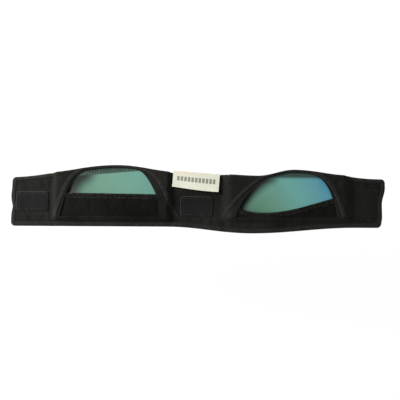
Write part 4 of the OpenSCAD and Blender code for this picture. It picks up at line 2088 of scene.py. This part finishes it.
@dataclass
class HangingLabel:
    """A folded satin label: a free leaf over a short end that is sewn down.

    Attributes:
        length: Length along the band.
        height: Height of the free leaf.
        turn: Its turn in plan, in radians.
        fold: Radius of the fold.
        cloth: Thickness of the satin.
    """

    length: float = 37.4
    height: float = 13.7
    turn: float = math.radians(-4.6)
    fold: float = 0.42
    cloth: float = 0.28

    def _placed(self, along: Array, up: Array, z: Array, hinge: Vector) -> Array:
        """Points on the turned label, from its hinge.

        Args:
            along: Places along the leaf.
            up: Places up from the hinge.
            z: Heights.
            hinge: The place that the leaf turns about.

        Returns:
            The points.
        """
        c, s = math.cos(self.turn), math.sin(self.turn)
        x = hinge.x / MM + along * c - up * s
        y = hinge.y / MM + along * s + up * c
        return np.stack([x, y, z], axis=-1)

    def _leaf(self, hinge: Vector) -> tuple[Array, Array]:
        """The middle layer of the leaf.

        Its section is a half circle round the fold and then a line down that lifts off
        towards its free edge, with a slow wave and a curled corner.

        Args:
            hinge: The place that the leaf turns about.

        Returns:
            The points by row and column, and U and V of each.
        """
        rows_round, rows_down, columns = 9, 26, 64
        angle = np.linspace(-np.pi / 2, np.pi / 2, rows_round)
        v = np.linspace(0, 1, rows_down + 1)[1:]
        up = np.concatenate([self.fold * np.cos(angle), -v * self.height])
        level = hinge.z / MM - self.fold
        height = np.concatenate([level + self.fold + self.fold * np.sin(angle),
                                 level + 2 * self.fold + 0.25 * v**2])
        free = np.concatenate([np.zeros(rows_round), v])
        u = np.linspace(-1, 1, columns)[None, :]
        long = u * self.length / 2 * np.ones((len(up), 1))
        slack = free[:, None] ** 1.5
        wave = 0.35 * slack * np.sin(2.2 * u + 0.6) + 0.9 * slack**2 * smooth((u - 0.45) / 0.55)
        wave = wave + 0.5 * slack * smooth((-u - 0.6) / 0.4)
        uneven = free[:, None] * (0.7 * u + 0.2 * np.sin(3 * u + 1.0))
        grid = self._placed(long, up[:, None] - uneven, height[:, None] + wave, hinge)
        spots = np.stack([np.broadcast_to((u + 1) / 2, long.shape),
                          np.broadcast_to(free[:, None], long.shape)], axis=2)
        return grid, spots.reshape(-1, 2)

    def build(self, hinge: Vector, wardrobe: Wardrobe) -> None:
        """Makes the leaf and the sewn end.

        Args:
            hinge: The place that the leaf turns about.
            wardrobe: The finishes.
        """
        grid, spots = self._leaf(hinge)
        normal = np.cross(np.gradient(grid, axis=0), np.gradient(grid, axis=1))
        normal /= np.linalg.norm(normal, axis=2)[:, :, None]
        outer, inner = grid + normal * self.cloth / 2, grid - normal * self.cloth / 2
        shell = closed(outer.reshape(-1, 3), inner.reshape(-1, 3), grid_quads(*grid.shape[:2]))
        leaf = make_piece("label_leaf_satin", shell, wardrobe.label, Ride("label"), ["label_leaf"],
                          None, 60.0)
        self._unwrap(leaf, np.tile(spots, (2, 1)))
        self._sewn_end(hinge, wardrobe)

    @staticmethod
    def _unwrap(piece: bpy.types.Object, spots: Array) -> None:
        """Gives a piece a UV map from one spot for each point.

        Args:
            piece: The piece.
            spots: U and V of each point.
        """
        mesh = piece.data
        layer = mesh.uv_layers.new(name="leaf")
        corners = np.zeros(len(mesh.loops), np.int32)
        mesh.loops.foreach_get("vertex_index", corners)
        layer.data.foreach_set("uv", spots[corners].astype(np.float32).ravel())

    def _sewn_end(self, hinge: Vector, wardrobe: Wardrobe) -> None:
        """The short end below the leaf, sewn down over the band's edge tape.

        Args:
            hinge: The place that the leaf turns about.
            wardrobe: The finishes.
        """
        u = np.linspace(-1, 1, 40)[None, :]
        up = np.linspace(-0.1, -3.8, 10)[:, None]
        long = u * (self.length / 2 - 0.2) * np.ones_like(up)
        level = hinge.z / MM - self.fold - self.cloth / 2 - 0.06
        grid = self._placed(long, up * np.ones_like(u), np.full(long.shape, level), hinge)
        flat = grid.reshape(-1, 3)
        shell = closed(flat, flat - np.array([0, 0, 0.3]), grid_quads(10, 40)[:, ::-1])
        piece = make_piece("label_sewn_end", shell, wardrobe.label, Ride("centre"),
                           ["label_seam_end"])
        self._unwrap(piece, np.tile(np.array([[0.5, 0.9]]), (len(shell.points), 1)))


# ---- the stage ----


@dataclass
class Stage:
    """The floor, the lamps, the world and the camera, in metres, watts and degrees.

    Attributes:
        key_power: Power of the key lamp.
        fill: Strength of the world for the light that falls on things.
        elevation: Angle of the camera above the floor.
        roll: Turn of the camera about its line of sight.
        distance: From the camera to what it looks at.
        floor: Height of the floor.
        floor_half: Half the floor's side.
        aim: What the camera looks at.
        lens: The camera's focal length, in millimetres.
        sensor: Width of its sensor, in millimetres.
    """

    key_power: float = 3.85
    fill: float = 0.28
    elevation: float = 80.0
    roll: float = 0.35
    distance: float = 0.8
    floor: float = -0.112
    floor_half: float = 2.0
    aim: tuple[float, float, float] = (0.0016, -0.0012, 0.004)
    lens: float = 90.0
    sensor: float = 36.0

    def build(self) -> None:
        """Makes the stage."""
        scene = bpy.context.scene
        scene.view_settings.view_transform = "Standard"
        self._floor()
        self._lamps()
        self._world()
        self._camera()

    def _floor(self) -> None:
        """A wide floor, as far down as the band reaches when it is wrapped."""
        side = np.array([-self.floor_half, self.floor_half])
        x, y = np.meshgrid(side, side, indexing="ij")
        points = np.stack([x.ravel(), y.ravel(), np.full(4, self.floor)], axis=1)
        mesh = bpy.data.meshes.new("floor")
        mesh.from_pydata(points.tolist(), [], grid_quads(2, 2).tolist())
        LOG.info("floor at %.3f m", self.floor)
        floor = bpy.data.objects.new("floor", mesh)
        bpy.context.scene.collection.objects.link(floor)
        mesh.materials.append(FloorFinish().build())
        floor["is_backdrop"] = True

    def _lamps(self) -> None:
        """A key close by on the left, whose light falls off to the right, and a wide weak fill."""
        for name, place, size, power in (
            ("key", (-0.42, 0.15, 0.27), 0.2, self.key_power),
            ("fill", (-0.25, -0.5, 0.8), 0.7, self.key_power * 0.42),
        ):
            lamp = bpy.data.lights.new(name, "AREA")
            lamp.energy = power
            lamp.size = size
            holder = bpy.data.objects.new(name, lamp)
            bpy.context.scene.collection.objects.link(holder)
            holder.location = place
            holder.rotation_mode = "QUATERNION"
            holder.rotation_quaternion = (-Vector(place)).to_track_quat("-Z", "Y")

    def _world(self) -> None:
        """An even pale world, white to the camera, glossy and glass rays."""
        world = bpy.data.worlds.new("studio")
        bpy.context.scene.world = world
        world.use_nodes = True
        world.node_tree.nodes.clear()
        graph = Graph(world.node_tree)
        power = graph.line(graph.seen(), 1.0 - self.fill, self.fill)
        glow = graph.add(
            "ShaderNodeBackground", {"Color": (1, 1, 1, 1), "Strength": power}
        ).outputs[0]
        graph.add("ShaderNodeOutputWorld", {"Surface": glow})

    def _camera(self) -> None:
        """A long lens from high above the near edge, rolled a little."""
        data = bpy.data.cameras.new("camera")
        data.lens = self.lens
        data.sensor_width = self.sensor
        camera = bpy.data.objects.new("camera", data)
        bpy.context.scene.collection.objects.link(camera)
        rise = math.radians(self.elevation)
        back = Vector((0, -math.cos(rise), math.sin(rise)))
        camera.location = Vector(self.aim) + back * self.distance
        camera.rotation_mode = "QUATERNION"
        level = (-back).to_track_quat("-Z", "Y")
        camera.rotation_quaternion = level @ Quaternion((0, 0, 1), math.radians(self.roll))
        bpy.context.scene.camera = camera


# ---- the whole object ----


class WristGuard:
    """The band, its pockets and inserts, its patches and its label."""

    def __init__(self, joints: list[dict]) -> None:
        """Reads the places of the folds, the pockets and the ends from the frame.

        Args:
            joints: The joints, as the frame gives them.
        """
        self.joints = {joint["name"]: joint for joint in joints}
        names = ("left_tab_fold", "left_wrap_fold", "right_wrap_fold", "right_tab_fold")
        folds = tuple(self.joints[name]["pos_m"][0] / MM for name in names)
        pockets = tuple(
            (low.x + high.x) / 2 / MM
            for low, high in (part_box(f"{side}_insert_back_film") for side in ("left", "right"))
        )
        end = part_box("right_tab_binding")[1].x / MM
        self.form = BandForm(folds, pockets, end)
        self.wardrobe = Wardrobe()
        reach, tab_reach = 4.0, 3.2
        self.spans = [
            Span("left_end", -end, pockets[0],
                 Ride("left_tab", "left_section", folds[0] - tab_reach, folds[0] + reach)),
            Span("left_middle", pockets[0], 0.0,
                 Ride("left_section", "centre", folds[1] - reach, folds[1] + reach)),
            Span("right_middle", 0.0, pockets[1],
                 Ride("centre", "right_section", folds[2] - reach, folds[2] + reach)),
            Span("right_end", pockets[1], end,
                 Ride("right_section", "right_tab", folds[3] - reach, folds[3] + tab_reach)),
        ]

    def build(self) -> None:
        """Makes every part of the object."""
        Band(self.form, self.wardrobe, self.spans).build()
        for arch, spans in zip(self.form.arches, (self.spans[:2], self.spans[2:])):
            Pocket(self.form, arch, self.wardrobe, tuple(spans)).build()
        self._inserts()
        self._patches()
        hinge = Vector(self.joints["label_lift"]["pos_m"])
        HangingLabel().build(hinge, self.wardrobe)

    def _inserts(self) -> None:
        """The two gel inserts."""
        left, right = self.form.arches
        # The stops run from green to blue along X; their darker colours at the low-X end are partly
        # painted shade from the cloth's edge.
        left_film = GelFinish(
            "left_gel_film",
            ((-108, (0.096, 0.192, 0.14)), (-88, (0.104, 0.206, 0.15)),
             (-70, (0.128, 0.252, 0.19)), (-50, (0.134, 0.287, 0.228)),
             (-30, (0.12, 0.278, 0.232))),
            header=19.8, header_slope=0.09, middle=left.middle, ticks=0.35, slant=0.35,
            edge_shade_span=(0.2, 0.96), header_shadow_soft=0.0003,
        )
        right_film = GelFinish(
            "right_gel_film",
            ((28, (0.088, 0.205, 0.137)), (50, (0.101, 0.23, 0.155)),
             (66, (0.142, 0.315, 0.25)), (82, (0.14, 0.39, 0.355)),
             (98, (0.13, 0.325, 0.355)), (112, (0.06, 0.29, 0.44))),
            header=17.9, header_slope=0.0, middle=right.middle, ticks=0.15, slant=0.6,
            edge_shade_span=(0.0, 0.92), header_shadow_soft=0.0028,
        )
        GelInsert(left, self.wardrobe.dress(left_film)).build()
        GelInsert(right, self.wardrobe.dress(right_film), edge_shade_reach=10.5).build()

    def _patches(self) -> None:
        """The two loop patches, the hook patch, and their stitches."""
        form, dress = self.form, self.wardrobe
        for name, node, seed, body, seam in (
            ("left_loop_patch", "left_tab_patch", 5, "left_tab", "left_tab_stitching"),
            ("middle_loop_patch", "centre_patch", 7, "centre", "centre_patch_stitching"),
        ):
            patch = FlatPatch(name, node, 0.95, 0.05, seed)
            patch.build(form.skin, dress.pile, Ride(body))
            patch.stitches(form.skin, dress.thread, Ride(body), 0.75, seam)
        hooks = FlatPatch("hook_patch", "right_tab_hook_patch", 0.45, 0.03, 9)
        tab = Ride("right_tab")
        hooks.build(form.under, dress.hooks, tab, above=0.42, downwards=True)
        hooks.stitches(form.skin, dress.thread, tab, 0.02, "right_tab_stitching")


def corners() -> list[list[float]]:
    """The shown object's lowest and highest corners as plain numbers."""
    low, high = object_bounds()
    return [[float(v) for v in low], [float(v) for v in high]]


def main() -> None:
    """Builds the object and its stage."""
    logging.basicConfig(level=logging.INFO, format="%(message)s")
    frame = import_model()
    Stage().build()
    WristGuard(frame["joints"]).build()


if __name__ == "__main__":
    main()
